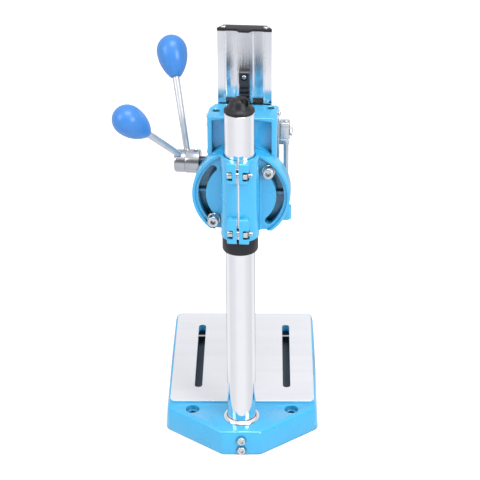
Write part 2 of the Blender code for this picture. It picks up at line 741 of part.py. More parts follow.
def track_outline(side):
    """One arc slot of the tilt plate, on one side, in the plate's own plane."""
    inner, outer = TRACK_RADIUS - TRACK_HALF_WIDTH, TRACK_RADIUS + TRACK_HALF_WIDTH
    limit = TRACK_HALF_ANGLE_DEG
    ends = [arc((0, 0), TRACK_RADIUS, side * limit, side * limit, 1)[0] for side in (-1, 1)]
    outline = arc((0, 0), outer, -limit, limit, 3 * ARC_STEPS)
    outline += arc(ends[1], TRACK_HALF_WIDTH, limit, limit + 180)[1:-1]
    outline += arc((0, 0), inner, limit, -limit, 3 * ARC_STEPS)
    outline += arc(ends[0], TRACK_HALF_WIDTH, 180 - limit, 360 - limit)[1:-1]
    return [(side * x, y) for x, y in outline][::side]


def facing_back(height=TILT_HEIGHT, y=0.0):
    """A placement on the tilt axis whose Z runs to +Y and whose Y runs up."""
    turn = Matrix(((-1, 0, 0, 0), (0, 0, 1, 0), (0, 1, 0, 0), (0, 0, 0, 1)))
    return Matrix.Translation((0, y, height)) @ turn


def make_clamp(head):
    """The split clamp, cast in one with the tilt plate and its ears."""
    low = PLATE_BOTTOM - OVERRUN
    sleeve = rod(SLEEVE_RADIUS, (0, 0, low), (0, 0, SLEEVE_TOP), ROUND_STEPS)
    clamp = add("column_clamp", sleeve, PAINT, head)
    face = PLATE_THICKNESS - PLATE_RECESS
    rim = PLATE_RADIUS - PLATE_RIM
    profile = [
        (0, face),
        (rim, face),
        (rim, PLATE_THICKNESS - PLATE_EDGE / 2),
        (rim + PLATE_EDGE / 2, PLATE_THICKNESS),
        (PLATE_RADIUS - PLATE_EDGE, PLATE_THICKNESS),
        (PLATE_RADIUS, PLATE_THICKNESS - PLATE_EDGE),
        (PLATE_RADIUS, 0),
        (0, 0),
    ]
    at_plate = facing_back(y=TILT_PLANE_Y)
    flange = turned("clamp_flange", profile, None, head, at_plate, helper=True)
    apply_helper(clamp, flange, "UNION")
    web_face = PLATE_FACE_Y + 2 * GAP
    fillet = WEB_HALF_WIDTH - SLEEVE_RADIUS
    web_outline = [(-WEB_HALF_WIDTH, TILT_PLANE_Y + PLATE_EDGE), (WEB_HALF_WIDTH, TILT_PLANE_Y + PLATE_EDGE)]
    web_outline += arc((WEB_HALF_WIDTH, web_face + fillet), fillet, 270, 180)
    web_outline += arc((-WEB_HALF_WIDTH, web_face + fillet), fillet, 0, -90)
    web = add("clamp_web", plate(web_outline, low, SLEEVE_TOP - PLATE_EDGE), None, head, None, True)
    reach = rod(PLATE_RADIUS - PLATE_RIM / 2, (0, TILT_PLANE_Y, 0), (0, SLEEVE_RADIUS, 0), ROUND_STEPS)
    combine(web, reach, "INTERSECT", head, Matrix.Translation((0, 0, TILT_HEIGHT)))
    apply_helper(clamp, web, "UNION")
    for bottom, top in ((UPPER_EAR_BOTTOM, SLEEVE_TOP), (PLATE_BOTTOM, LOWER_EAR_TOP)):
        mesh = block((-EAR_HALF_WIDTH, BORE_RADIUS / 2, bottom), (EAR_HALF_WIDTH, EAR_Y, top))
        ear = add("clamp_ear", mesh, None, head, None, True)
        round_edges(ear, EAR_EDGE, 1)
        apply_helper(clamp, ear, "UNION")
    wide = PLATE_RADIUS + OVERRUN
    cut(clamp, block((-wide, -wide, 0), (wide, wide, PLATE_BOTTOM)))
    cut(clamp, rod(BORE_RADIUS, (0, 0, low - OVERRUN), (0, 0, SLEEVE_TOP + OVERRUN), ROUND_STEPS))
    cut(
        clamp,
        block(
            (-SPLIT_HALF_WIDTH, 0, low - OVERRUN),
            (SPLIT_HALF_WIDTH, EAR_Y + OVERRUN, SLEEVE_TOP + OVERRUN),
        ),
    )
    for side in (-1, 1):
        cut(clamp, plate(track_outline(side), -OVERRUN, PLATE_THICKNESS + OVERRUN), at_plate)
    floor = BOLT_Y - BOLT_HEAD_RADIUS - GAP
    outside = EAR_HALF_WIDTH + OVERRUN
    for height in BOLT_HEIGHTS:
        low, high = height - POCKET_HEIGHT / 2, height + POCKET_HEIGHT / 2
        for left, right in ((POCKET_X, outside), (-outside, -POCKET_X)):
            cut(clamp, block((left, floor, low), (right, EAR_Y + OVERRUN, high)))
        hole = rod(BOLT_RADIUS + GAP, (-outside, BOLT_Y, height), (outside, BOLT_Y, height))
        cut(clamp, hole)
    make_clamp_bolts(head)


def make_clamp_bolts(head):
    """The two bolts across the split, with their nuts on the side away from the levers."""
    seat = POCKET_X + GAP
    for name, height in zip(("upper", "lower"), BOLT_HEIGHTS):
        length = 2 * seat + NUT_THICKNESS + BOLT_STUB
        place = along((seat, BOLT_Y, height), X_AXIS)
        bolt = "clamp_bolt_" + name
        socket_screw(bolt, BOLT_HEAD_RADIUS, BOLT_HEAD, BOLT_RADIUS, length, ZINC, head, place)
        nut = add(
            "clamp_nut_" + name,
            rod(NUT_RADIUS, (-seat - NUT_THICKNESS, BOLT_Y, height), (-seat, BOLT_Y, height), 6),
            ZINC,
            head,
        )
        cut(nut, rod(BOLT_RADIUS + GAP, (-outer_x(), BOLT_Y, height), (0, BOLT_Y, height)))


def outer_x():
    """A place beyond the ears and nuts."""
    return EAR_HALF_WIDTH + OVERRUN


def make_tilt_screws(tilt):
    """The two screws that lock the tilt through the arc slots, each over a washer."""
    offset = TRACK_OFFSET
    washer_y = PLATE_FACE_Y + GAP
    head_y = washer_y + WASHER_THICKNESS + GAP
    for name, side in (("left", -1), ("right", 1)):
        x, height = side * offset, TILT_HEIGHT - side * offset
        length = head_y - TILT_PLANE_Y + TILT_SCREW_GRIP
        place = along((x, head_y, height), Y_AXIS)
        screw = "tilt_screw_" + name
        socket_screw(screw, TILT_HEAD_RADIUS, TILT_HEAD, TILT_SCREW_RADIUS, length, ZINC, tilt, place)
        place = along((x, washer_y, height), Y_AXIS)
        tube(
            "tilt_washer_" + name,
            TILT_SCREW_RADIUS + GAP,
            WASHER_RADIUS,
            0,
            WASHER_THICKNESS,
            ZINC,
            tilt,
            place,
            SMALL_STEPS,
        )


def slide_channel():
    """The dovetail channel's outline: the slide's own, with running room, open to the front."""
    slope = (SLIDE_HALF_WIDTH - SLIDE_FRONT_HALF_WIDTH) / (slide_shoulder_y() - SLIDE_FRONT_Y)
    room = GAP * 1.2
    shoulder = slide_shoulder_y()
    front = HOUSING_FRONT_Y - OVERRUN
    front_half = SLIDE_HALF_WIDTH + room - slope * (shoulder - front)
    half = [
        (SLIDE_HALF_WIDTH + room, SLIDE_BACK_Y + GAP),
        (SLIDE_HALF_WIDTH + room, shoulder),
        (front_half, front),
    ]
    return half + [(-x, y) for x, y in reversed(half)]


def slide_shoulder_y():
    """Where the slide's sloping sides begin."""
    return SLIDE_BACK_Y - SLIDE_SHOULDER


def make_housing(tilt):
    """The cast housing: the tilt plate's counter-disc, the body with the dovetail, and the pinion's room."""
    wide, back, front = HOUSING_HALF_WIDTH, HOUSING_BACK_Y + GAP, HOUSING_FRONT_Y
    corners = [(-wide, back), (-wide, front), (wide, front), (wide, back)]
    mesh = plate(rounded(corners, [HOUSING_CORNER] * 4), HOUSING_BOTTOM, HOUSING_TOP)
    housing = round_edges(add("slide_housing", mesh, PAINT, tilt), HOUSING_EDGE, 2)
    back = TILT_PLANE_Y - GAP
    disc = rod(PLATE_RADIUS, (0, RECESS_Y, TILT_HEIGHT), (0, back, TILT_HEIGHT), ROUND_STEPS)
    disc = add("housing_disc", disc, None, tilt, None, True)
    wide = PLATE_RADIUS + OVERRUN
    cut(disc, block((-wide, -wide, 0), (wide, wide, PLATE_BOTTOM)))
    half = HOUSING_HALF_WIDTH - HOUSING_CORNER
    stem = block(
        (-half, HOUSING_BACK_Y - HOUSING_CORNER, HOUSING_BOTTOM + HOUSING_CORNER),
        (half, HOUSING_BACK_Y + GAP * 2, TILT_HEIGHT + PLATE_FLAT),
    )
    join(disc, stem)
    apply_helper(housing, disc, "UNION")
    make_back_recess(housing, tilt)
    make_disc_pocket(housing, tilt, back)
    cut(housing, plate(slide_channel(), HOUSING_BOTTOM - OVERRUN, HOUSING_TOP + OVERRUN))
    cut(housing, plate(top_step_outline(), HOUSING_TOP - HOUSING_STEP_DROP, HOUSING_TOP + OVERRUN))
    rack_room = RACK_HALF_WIDTH + PINION_ROOM
    cut(
        housing,
        block(
            (-rack_room, SLIDE_BACK_Y, HOUSING_BOTTOM - OVERRUN),
            (rack_room, RACK_TIP_Y + PINION_ROOM, HOUSING_TOP + OVERRUN),
        ),
    )
    axis = Vector((0, PINION_Y, PINION_HEIGHT))
    inside = PINION_HALF_WIDTH + PINION_ROOM
    small_end = inside + SMALL_BUSH_LENGTH + GAP
    bush = SHAFT_RADIUS + BUSH_WALL + 2 * GAP
    far = HOUSING_HALF_WIDTH + OVERRUN
    cut(housing, rod(PINION_CAVITY, axis - X_AXIS * inside, axis + X_AXIS * far, ROUND_STEPS))
    cut(housing, rod(bush, axis - X_AXIS * small_end, axis, ROUND_STEPS))
    make_housing_holes(housing)
    make_stop_lug(housing)
    return housing


def top_step_outline():
    """The plan of what the top loses in front of the ears, with a slanted corner behind each ear."""
    far, front = HOUSING_HALF_WIDTH + OVERRUN, HOUSING_FRONT_Y - OVERRUN
    outline = [(far, front)]
    for side, (inset, setback) in zip((1, -1), HOUSING_STEP_CORNERS):
        step = [
            (side * far, HOUSING_STEP_Y + setback * (1 + OVERRUN / inset)),
            (side * (HOUSING_HALF_WIDTH - inset), HOUSING_STEP_Y),
        ]
        outline += step[::side]
    return outline + [(-far, front)]


def make_back_recess(housing, tilt):
    """The hollow in the back wall between the corner posts: it ends over the disc and has an arched top."""
    half, top = RECESS_HALF_WIDTH, HOUSING_TOP - TILT_HEIGHT
    arch = RECESS_SIDE_DROP - RECESS_MIDDLE_DROP
    radius = (half ** 2 + arch ** 2) / (2 * arch)
    spread = math.degrees(math.asin(half / radius))
    crown = arc((0, top - RECESS_MIDDLE_DROP - radius), radius, 90 - spread, 90 + spread, 2 * ARC_STEPS)
    mesh = plate([(-half, 0), (half, 0)] + crown, RECESS_Y - HOUSING_BACK_Y, OVERRUN)
    recess = add("housing_recess", mesh, None, tilt, facing_back(y=HOUSING_BACK_Y), True)
    under = (0, 0, RECESS_Y - HOUSING_BACK_Y - OVERRUN)
    disc = rod(PLATE_RADIUS + RECESS_FOOT, under, (0, 0, 2 * OVERRUN), ROUND_STEPS)
    cut(recess, disc, facing_back(y=HOUSING_BACK_Y))
    apply_helper(housing, recess, "DIFFERENCE")


def make_disc_pocket(housing, tilt, back):
    """The ring-shaped hollow behind the arc slots, with the screws' bosses and a rib left standing."""
    profile = [
        (POCKET_RING_OUTER, OVERRUN),
        (POCKET_RING_OUTER, -POCKET_RING_DEPTH),
        (POCKET_RING_INNER, -POCKET_RING_DEPTH),
        (POCKET_RING_INNER, OVERRUN),
    ]
    place = facing_back(y=back)
    pocket = turned("disc_pocket", profile, None, tilt, place, helper=True, closed=True)
    wide = PLATE_RADIUS
    deep = (-wide, back - 2 * POCKET_RING_DEPTH)
    cut(pocket, block((-wide, deep[1], TILT_HEIGHT - POCKET_RIB), (wide, OVERRUN, TILT_HEIGHT + POCKET_RIB)))
    offset = TRACK_OFFSET
    for side in (-1, 1):
        at = Vector((side * offset, 0, TILT_HEIGHT - side * offset))
        cut(pocket, rod(WASHER_RADIUS, at + Y_AXIS * deep[1], at + Y_AXIS * OVERRUN))
    flat = PLATE_BOTTOM + PLATE_RIM
    cut(pocket, block((-wide, -wide, 0), (wide, wide, flat)))
    apply_helper(housing, pocket, "DIFFERENCE")


def make_housing_holes(housing):
    """Holes for the tilt screws, the side screws, and the two open holes in the top ears."""
    offset = TRACK_OFFSET
    deep = TILT_PLANE_Y - TILT_SCREW_GRIP - PINION_ROOM
    for side in (-1, 1):
        x, height = side * offset, TILT_HEIGHT - side * offset
        cut(housing, rod(TILT_SCREW_RADIUS + GAP, (x, deep, height), (x, 0, height)))
    far = HOUSING_HALF_WIDTH + OVERRUN
    for height in GIB_SCREW_HEIGHTS:
        inner = HOUSING_HALF_WIDTH + GIB_SCREW_PROUD - GIB_SCREW_LENGTH - GAP
        cut(housing, rod(GIB_SCREW_RADIUS + GAP, (inner, GIB_SCREW_Y, height), (far, GIB_SCREW_Y, height)))
    screw_height = HOUSING_TOP - EAR_SCREW_DROP
    for side, y in zip((1, -1), EAR_HOLE_YS):
        x = side * EAR_HOLE_X
        floor = HOUSING_TOP - EAR_HOLE_DEPTH
        cut(housing, rod(EAR_HOLE_RADIUS, (x, y, floor), (x, y, HOUSING_TOP + OVERRUN)))
        inner = side * (HOUSING_HALF_WIDTH - EAR_SCREW_REACH - GAP)
        cut(housing, rod(EAR_SCREW_RADIUS + GAP, (inner, y, screw_height), (side * far, y, screw_height)))


def make_stop_lug(housing):
    """The forked lug on the housing's side that the depth-stop block comes down on."""
    middle = DEPTH_ROD_Y
    lug = block(
        (-STOP_LUG_X, middle - BLOCK_HALF_DEPTH, STOP_LUG_BOTTOM),
        (-HOUSING_HALF_WIDTH + HOUSING_CORNER, middle + BLOCK_HALF_DEPTH, STOP_LUG_TOP),
    )
    join(housing, lug)
    notch = DEPTH_ROD_RADIUS + 2 * GAP
    low, high = STOP_LUG_BOTTOM - OVERRUN / 2, STOP_LUG_TOP + OVERRUN
    outer_corner = (-STOP_LUG_X - OVERRUN, middle - notch, low)
    cut(housing, block(outer_corner, (DEPTH_ROD_X + notch, middle + notch, high)))


def make_housing_fittings(tilt):
    """Liners, side screws, ear screws, bushes and the depth scale."""
    for name, side in (("left", -1), ("right", 1)):
        inner, outer = side * (SLIDE_RIB_X + LINER_SIDE_ROOM), side * (SLIDE_FLANGE_X - LINER_SIDE_ROOM)
        low = (min(inner, outer), SLIDE_BACK_Y - SLIDE_TRACK_DEPTH + GAP, LINER_BOTTOM)
        mesh = block(low, (max(inner, outer), SLIDE_BACK_Y, LINER_TOP))
        add("slide_liner_" + name, mesh, BLACK, tilt)
    for name, height in zip(("upper", "lower"), GIB_SCREW_HEIGHTS):
        tip = HOUSING_HALF_WIDTH + GIB_SCREW_PROUD
        profile = [
            (0, 0),
            (GIB_SCREW_RADIUS * 0.85, 0),
            (GIB_SCREW_RADIUS, -GIB_SCREW_RADIUS * 0.2),
            (GIB_SCREW_RADIUS, -GIB_SCREW_LENGTH),
            (0, -GIB_SCREW_LENGTH),
        ]
        place = along((tip, GIB_SCREW_Y, height), X_AXIS)
        screw = turned("gib_screw_" + name, profile, ZINC, tilt, place, steps=SMALL_STEPS)
        socket = rod(GIB_SCREW_RADIUS * SOCKET_SHARE, (0, 0, -GIB_SCREW_RADIUS), (0, 0, OVERRUN), 6)
        cut(screw, socket, place)
    for name, side, y in zip(("right", "left"), (1, -1), EAR_HOLE_YS):
        head_radius, radius = EAR_SCREW_HEAD_RADIUS, EAR_SCREW_RADIUS
        profile = [
            (0, EAR_SCREW_HEAD),
            (head_radius * 0.75, EAR_SCREW_HEAD * 0.85),
            (head_radius, EAR_SCREW_HEAD * 0.4),
            (head_radius, 0),
            (radius, 0),
            (radius, -EAR_SCREW_REACH),
            (0, -EAR_SCREW_REACH),
        ]
        face = Vector((side * (HOUSING_HALF_WIDTH + GAP), y, HOUSING_TOP - EAR_SCREW_DROP))
        turned("ear_screw_" + name, profile, ZINC, tilt, along(face, X_AXIS * side), steps=SMALL_STEPS)
    axis = Vector((0, PINION_Y, PINION_HEIGHT))
    inside = PINION_HALF_WIDTH + PINION_ROOM
    bore = SHAFT_RADIUS + GAP
    place = along(axis, X_AXIS)
    outer = PINION_CAVITY - GAP
    tube("shaft_bush_right", bore, outer, inside + GAP, HOUSING_HALF_WIDTH, BRONZE, tilt, place)
    outer = SHAFT_RADIUS + BUSH_WALL + GAP
    tube("shaft_bush_left", bore, outer, -inside - SMALL_BUSH_LENGTH, -inside, BRONZE, tilt, place)
    scale = block(
        (-HOUSING_HALF_WIDTH - GAP - SCALE_THICKNESS, SCALE_FRONT_Y, SCALE_BOTTOM),
        (-HOUSING_HALF_WIDTH - GAP, SCALE_BACK_Y, SCALE_TOP),
    )
    add("depth_scale", scale, MACHINED, tilt)


def slide_outline(grow=0.0):
    """The slide's outer section: flat at the back, sloping sides, and a narrower front."""
    half = [
        (SLIDE_HALF_WIDTH + grow, SLIDE_BACK_Y + grow),
        (SLIDE_HALF_WIDTH + grow, slide_shoulder_y()),
        (SLIDE_FRONT_HALF_WIDTH + grow, SLIDE_FRONT_Y - grow),
    ]
    return half + [(-x, y) for x, y in reversed(half)]


def make_slide(feed):
    """The extruded slide with its liner tracks, rack groove, chambers and screw holes, and its end cap."""
    slide = add("slide_extrusion", plate(slide_outline(), SLIDE_BOTTOM, SLIDE_TOP), MACHINED, feed)
    low, high = SLIDE_BOTTOM - OVERRUN, SLIDE_TOP + OVERRUN
    groove = RACK_HALF_WIDTH + GAP
    cut(slide, block((-groove, RACK_BACK_Y - GAP, low), (groove, SLIDE_BACK_Y + OVERRUN, high)))
    floor = SLIDE_BACK_Y - SLIDE_TRACK_DEPTH
    for side in (-1, 1):
        left, right = sorted((side * SLIDE_RIB_X, side * SLIDE_FLANGE_X))
        cut(slide, block((left, floor, low), (right, SLIDE_BACK_Y + OVERRUN, high)))
        left, right = sorted((side * CHAMBER_INNER_X, side * CHAMBER_OUTER_X))
        cut(slide, block((left, CHAMBER_FRONT_Y, low), (right, CHAMBER_BACK_Y, high)))
        hole = (side * CAP_SCREW_X, CAP_SCREW_Y)
        cut(slide, rod(CAP_SCREW_RADIUS + GAP, (*hole, SLIDE_TOP - CAP_SCREW_LENGTH), (*hole, high)))
    for height in rack_screw_heights():
        deep = RACK_TIP_Y - RACK_SCREW_HEAD - RACK_SCREW_LENGTH - GAP
        cut(slide, rod(RACK_SCREW_RADIUS + GAP, (0, deep - GAP, height), (0, SLIDE_BACK_Y, height)))
    for height in FOOT_SCREW_HEIGHTS:
        deep = SLIDE_FRONT_Y + FOOT_SCREW_GRIP + GAP
        cut(slide, rod(FOOT_SCREW_RADIUS + GAP, (0, SLIDE_FRONT_Y - OVERRUN, height), (0, deep, height)))
    outline = slide_outline(GAP)
    nose = [
        (-END_CAP_NOSE_FOOT, SLIDE_BACK_Y + GAP),
        (-END_CAP_NOSE_HALF_WIDTH, END_CAP_NOSE_Y),
        (END_CAP_NOSE_HALF_WIDTH, END_CAP_NOSE_Y),
        (END_CAP_NOSE_FOOT, SLIDE_BACK_Y + GAP),
    ]
    seat = SLIDE_TOP + GAP
    cap = add("slide_end_cap", plate(outline + nose, seat, seat + END_CAP_THICKNESS), BLACK, feed)
    for name, side in (("left", -1), ("right", 1)):
        x = side * CAP_SCREW_X
        ends = (x, CAP_SCREW_Y, seat - OVERRUN), (x, CAP_SCREW_Y, high + OVERRUN)
        cut(cap, rod(CAP_SCREW_RADIUS + GAP, *ends))
        top = seat + END_CAP_THICKNESS + GAP
        profile = [
            (0, CAP_SCREW_HEAD),
            (CAP_SCREW_HEAD_RADIUS * 0.7, CAP_SCREW_HEAD * 0.9),
            (CAP_SCREW_HEAD_RADIUS, CAP_SCREW_HEAD * 0.3),
            (CAP_SCREW_HEAD_RADIUS, 0),
            (CAP_SCREW_RADIUS, 0),
            (CAP_SCREW_RADIUS, -CAP_SCREW_LENGTH),
            (0, -CAP_SCREW_LENGTH),
        ]
        place = Matrix.Translation((x, CAP_SCREW_Y, top))
        turned("cap_screw_" + name, profile, ZINC, feed, place, steps=SMALL_STEPS)


def rack_screw_heights():
    """The heights of the rack's two screws, each in a plain end."""
    return (RACK_TOP - RACK_PLAIN_TOP * 0.55, RACK_BOTTOM + RACK_PLAIN_BOTTOM * 0.45)


def rack_outline():
    """The rack's side view as (height, y) points: teeth at the pinion's pitch between two plain ends."""
    lean = math.tan(math.radians(PRESSURE_ANGLE_DEG))
    low, high = RACK_BOTTOM + RACK_PLAIN_BOTTOM, RACK_TOP - RACK_PLAIN_TOP
    half_tooth = RACK_PITCH / 4 - BACKLASH / 2
    tip, root = half_tooth - MODULE * lean, half_tooth + (TOOTH_DEPTH - MODULE) * lean
    root_y = RACK_TIP_Y - TOOTH_DEPTH
    first = math.ceil((low + root - PINION_HEIGHT) / RACK_PITCH)
    last = math.floor((high - root - PINION_HEIGHT) / RACK_PITCH)
    points = [(RACK_BOTTOM, RACK_BACK_Y), (RACK_BOTTOM, RACK_TIP_Y), (low - RACK_PITCH / 4, RACK_TIP_Y)]
    points.append((low - RACK_PITCH / 4 + TOOTH_DEPTH * lean, root_y))
    for k in range(first, last + 1):
        centre = PINION_HEIGHT + k * RACK_PITCH
        points += [(centre - root, root_y), (centre - tip, RACK_TIP_Y)]
        points += [(centre + tip, RACK_TIP_Y), (centre + root, root_y)]
    points.append((high + RACK_PITCH / 4 - TOOTH_DEPTH * lean, root_y))
    points += [(high + RACK_PITCH / 4, RACK_TIP_Y), (RACK_TOP, RACK_TIP_Y), (RACK_TOP, RACK_BACK_Y)]
    return points


def make_rack(feed):
    """The toothed rack in the slide's groove, and the screw in each plain end."""
    turn = Matrix(((0, 0, 1, 0), (0, 1, 0, 0), (1, 0, 0, 0), (0, 0, 0, 1)))
    mesh = plate(rack_outline(), -RACK_HALF_WIDTH, RACK_HALF_WIDTH)
    mesh.transform(turn)
    mesh.flip_normals()
    rack = add("feed_rack", mesh, RACK_STEEL, feed)
    seat = RACK_TIP_Y - RACK_SCREW_HEAD
    for name, height in zip(("upper", "lower"), rack_screw_heights()):
        cut(rack, rod(RACK_SCREW_SEAT_RADIUS, (0, seat - GAP, height), (0, RACK_TIP_Y + OVERRUN, height)))
        cut(rack, rod(RACK_SCREW_RADIUS + GAP, (0, RACK_BACK_Y - OVERRUN, height), (0, 0, height)))
        place = along((0, seat, height), Y_AXIS)
        screw = "rack_screw_" + name
        head = RACK_SCREW_HEAD
        length = RACK_SCREW_LENGTH
        socket_screw(screw, RACK_SCREW_HEAD_RADIUS, head, RACK_SCREW_RADIUS, length, ZINC, feed, place)


def involute(radius, base):
    """The angle that the involute of a base circle has turned through at a radius."""
    steep = math.acos(min(1.0, base / radius))
    return math.tan(steep) - steep


def pinion_outline():
    """The pinion's outline, with a gap between teeth facing +X of the outline's own plane."""
    pressure = math.radians(PRESSURE_ANGLE_DEG)
    base = PITCH_RADIUS * math.cos(pressure)
    root = PITCH_RADIUS - TOOTH_DEPTH + MODULE
    half_pitch_angle = math.pi / PINION_TEETH
    half_tooth = half_pitch_angle / 2 - BACKLASH / 2 / PITCH_RADIUS
    flank = []
    steps = 4
    for i in range(steps + 1):
        radius = max(base, root) + (TIP_RADIUS - max(base, root)) * i / steps
        angle = half_tooth + involute(PITCH_RADIUS, base) - involute(radius, base)
        flank.append((radius, angle))
    points = []
    for tooth in range(PINION_TEETH):
        centre = (2 * tooth + 1) * half_pitch_angle
        side = [(root, flank[0][1])] + flank
        points += [(radius, centre - angle) for radius, angle in side]
        points += [(radius, centre + angle) for radius, angle in reversed(side)]
    return [(radius * math.cos(angle), radius * math.sin(angle)) for radius, angle in points]


def make_pinion(levers):
    """The pinion, in one with its shaft."""
    axis = Vector((0, PINION_Y, PINION_HEIGHT))
    turn = Matrix(((0, 0, 1, 0), (-1, 0, 0, 0), (0, -1, 0, 0), (0, 0, 0, 1)))
    mesh = plate(pinion_outline(), -PINION_HALF_WIDTH, PINION_HALF_WIDTH)
    mesh.transform(Matrix.Translation(axis) @ turn)
    pinion = add("pinion_shaft", mesh, RACK_STEEL, levers)
    end = PINION_HALF_WIDTH + PINION_ROOM + SMALL_BUSH_LENGTH
    join(pinion, rod(SHAFT_RADIUS, axis - X_AXIS * end, axis + X_AXIS * (HUB_INNER_X - GAP), ROUND_STEPS))
    inside = axis + X_AXIS * (HUB_INNER_X + HUB_SEAT)
    join(pinion, rod(SHAFT_HUB_RADIUS, axis, inside, ROUND_STEPS))


def lever_direction(index):
    """Which way a lever points: lift is from +Y towards +Z, and splay is out along +X."""
    lift, splay = math.radians(LEVER_LIFT_DEG[index]), math.radians(LEVER_SPLAY_DEG[index])
    return Vector((math.sin(splay), math.cos(lift) * math.cos(splay), math.sin(lift) * math.cos(splay)))


def lever_seat(index):
    """How far from the shaft's axis a rod starts, along its own length."""
    splay = math.radians(LEVER_SPLAY_DEG[index])
    return (LEVER_SEAT + ROD_ROOT_RADIUS * math.sin(splay)) / math.cos(splay)


def make_hub(levers):
    """The hub with its lever holes, the bore for the shaft and its set screw."""
    rim = HUB_RADIUS - HUB_STEP
    profile = [
        (0, HUB_OUTER_X),
        (rim - HUB_EDGE, HUB_OUTER_X),
        (rim, HUB_OUTER_X - HUB_EDGE),
        (rim, HUB_STEP_X),
        (HUB_RADIUS, HUB_STEP_X - HUB_STEP),
        (HUB_RADIUS, HUB_INNER_X + HUB_EDGE / 2),
        (HUB_RADIUS - HUB_EDGE / 2, HUB_INNER_X),
        (0, HUB_INNER_X),
    ]
    axis = Vector((0, PINION_Y, PINION_HEIGHT))
    hub = turned("lever_hub", profile, ZINC, levers, along(axis, X_AXIS))
    deep = axis + X_AXIS * (HUB_INNER_X + HUB_SEAT + GAP)
    cut(hub, rod(SHAFT_HUB_RADIUS + GAP, axis + X_AXIS * (HUB_INNER_X - OVERRUN), deep, ROUND_STEPS))
    for index, x in enumerate(LEVER_ROOT_X):
        direction = lever_direction(index)
        root = axis + X_AXIS * x
        start = root + direction * (lever_seat(index) - GAP)
        cut(hub, rod(ROD_ROOT_RADIUS + 2 * GAP, start, root + direction * 3 * HUB_RADIUS))
    top = axis + X_AXIS * HUB_SCREW_X
    seat = SHAFT_HUB_RADIUS + GAP
    cut(hub, rod(HUB_SCREW_RADIUS + GAP, top, top + Z_AXIS * (HUB_RADIUS + OVERRUN)))
    mesh = rod(HUB_SCREW_RADIUS, top + Z_AXIS * seat, top + Z_AXIS * (HUB_RADIUS - HUB_SCREW_RADIUS))
    add("hub_set_screw", mesh, RACK_STEEL, levers)


def knob_profile():
    """A pear shape from its rounded top down to its open mouth, then up the bore for the rod."""
    widest = KNOB_LENGTH * KNOB_WIDEST_SHARE
    top = KNOB_LENGTH - widest
    profile = []
    for i in range(KNOB_STEPS + 1):
        turn = math.pi / 2 * i / KNOB_STEPS
        profile.append((KNOB_RADIUS * math.sin(turn), widest + top * math.cos(turn)))
    for i in range(1, KNOB_STEPS + 1):
        share = i / KNOB_STEPS
        radius = KNOB_RADIUS - (KNOB_RADIUS - KNOB_MOUTH_RADIUS) * share ** KNOB_FULLNESS
        profile.append((radius, widest * (1 - share)))
    ferrule = ROD_TIP_RADIUS + 2 * GAP + FERRULE_WALL
    bore = ROD_TIP_RADIUS + GAP
    profile += [(ferrule, 0), (ferrule, FERRULE_LENGTH + GAP), (bore, FERRULE_LENGTH + GAP)]
    profile += [(bore, ROD_IN_KNOB + GAP), (0, ROD_IN_KNOB + GAP)]
    return profile


def make_levers(levers):
    """The two rods, each with its pear-shaped knob and the dark ferrule in the knob's mouth."""
    axis = Vector((0, PINION_Y, PINION_HEIGHT))
    for index, x in enumerate(LEVER_ROOT_X):
        name = ("upper", "rear")[index]
        direction = lever_direction(index)
        root = axis + X_AXIS * x
        mouth = root + direction * LEVER_REACH[index]
        start = root + direction * lever_seat(index)
        end = mouth + direction * ROD_IN_KNOB
        mesh = rod(ROD_ROOT_RADIUS, start, end, ROUND_STEPS // 2, ROD_TIP_RADIUS)
        add("lever_rod_" + name, mesh, CHROME, levers)
        place = along(mouth, direction)
        turned("lever_knob_" + name, knob_profile(), KNOB_BLUE, levers, place, steps=KNOB_FACETS)
        inner = ROD_TIP_RADIUS + GAP
        outer = inner + FERRULE_WALL
        tube("knob_ferrule_" + name, inner, outer, 0, FERRULE_LENGTH, BLACK, levers, place, ROUND_STEPS)


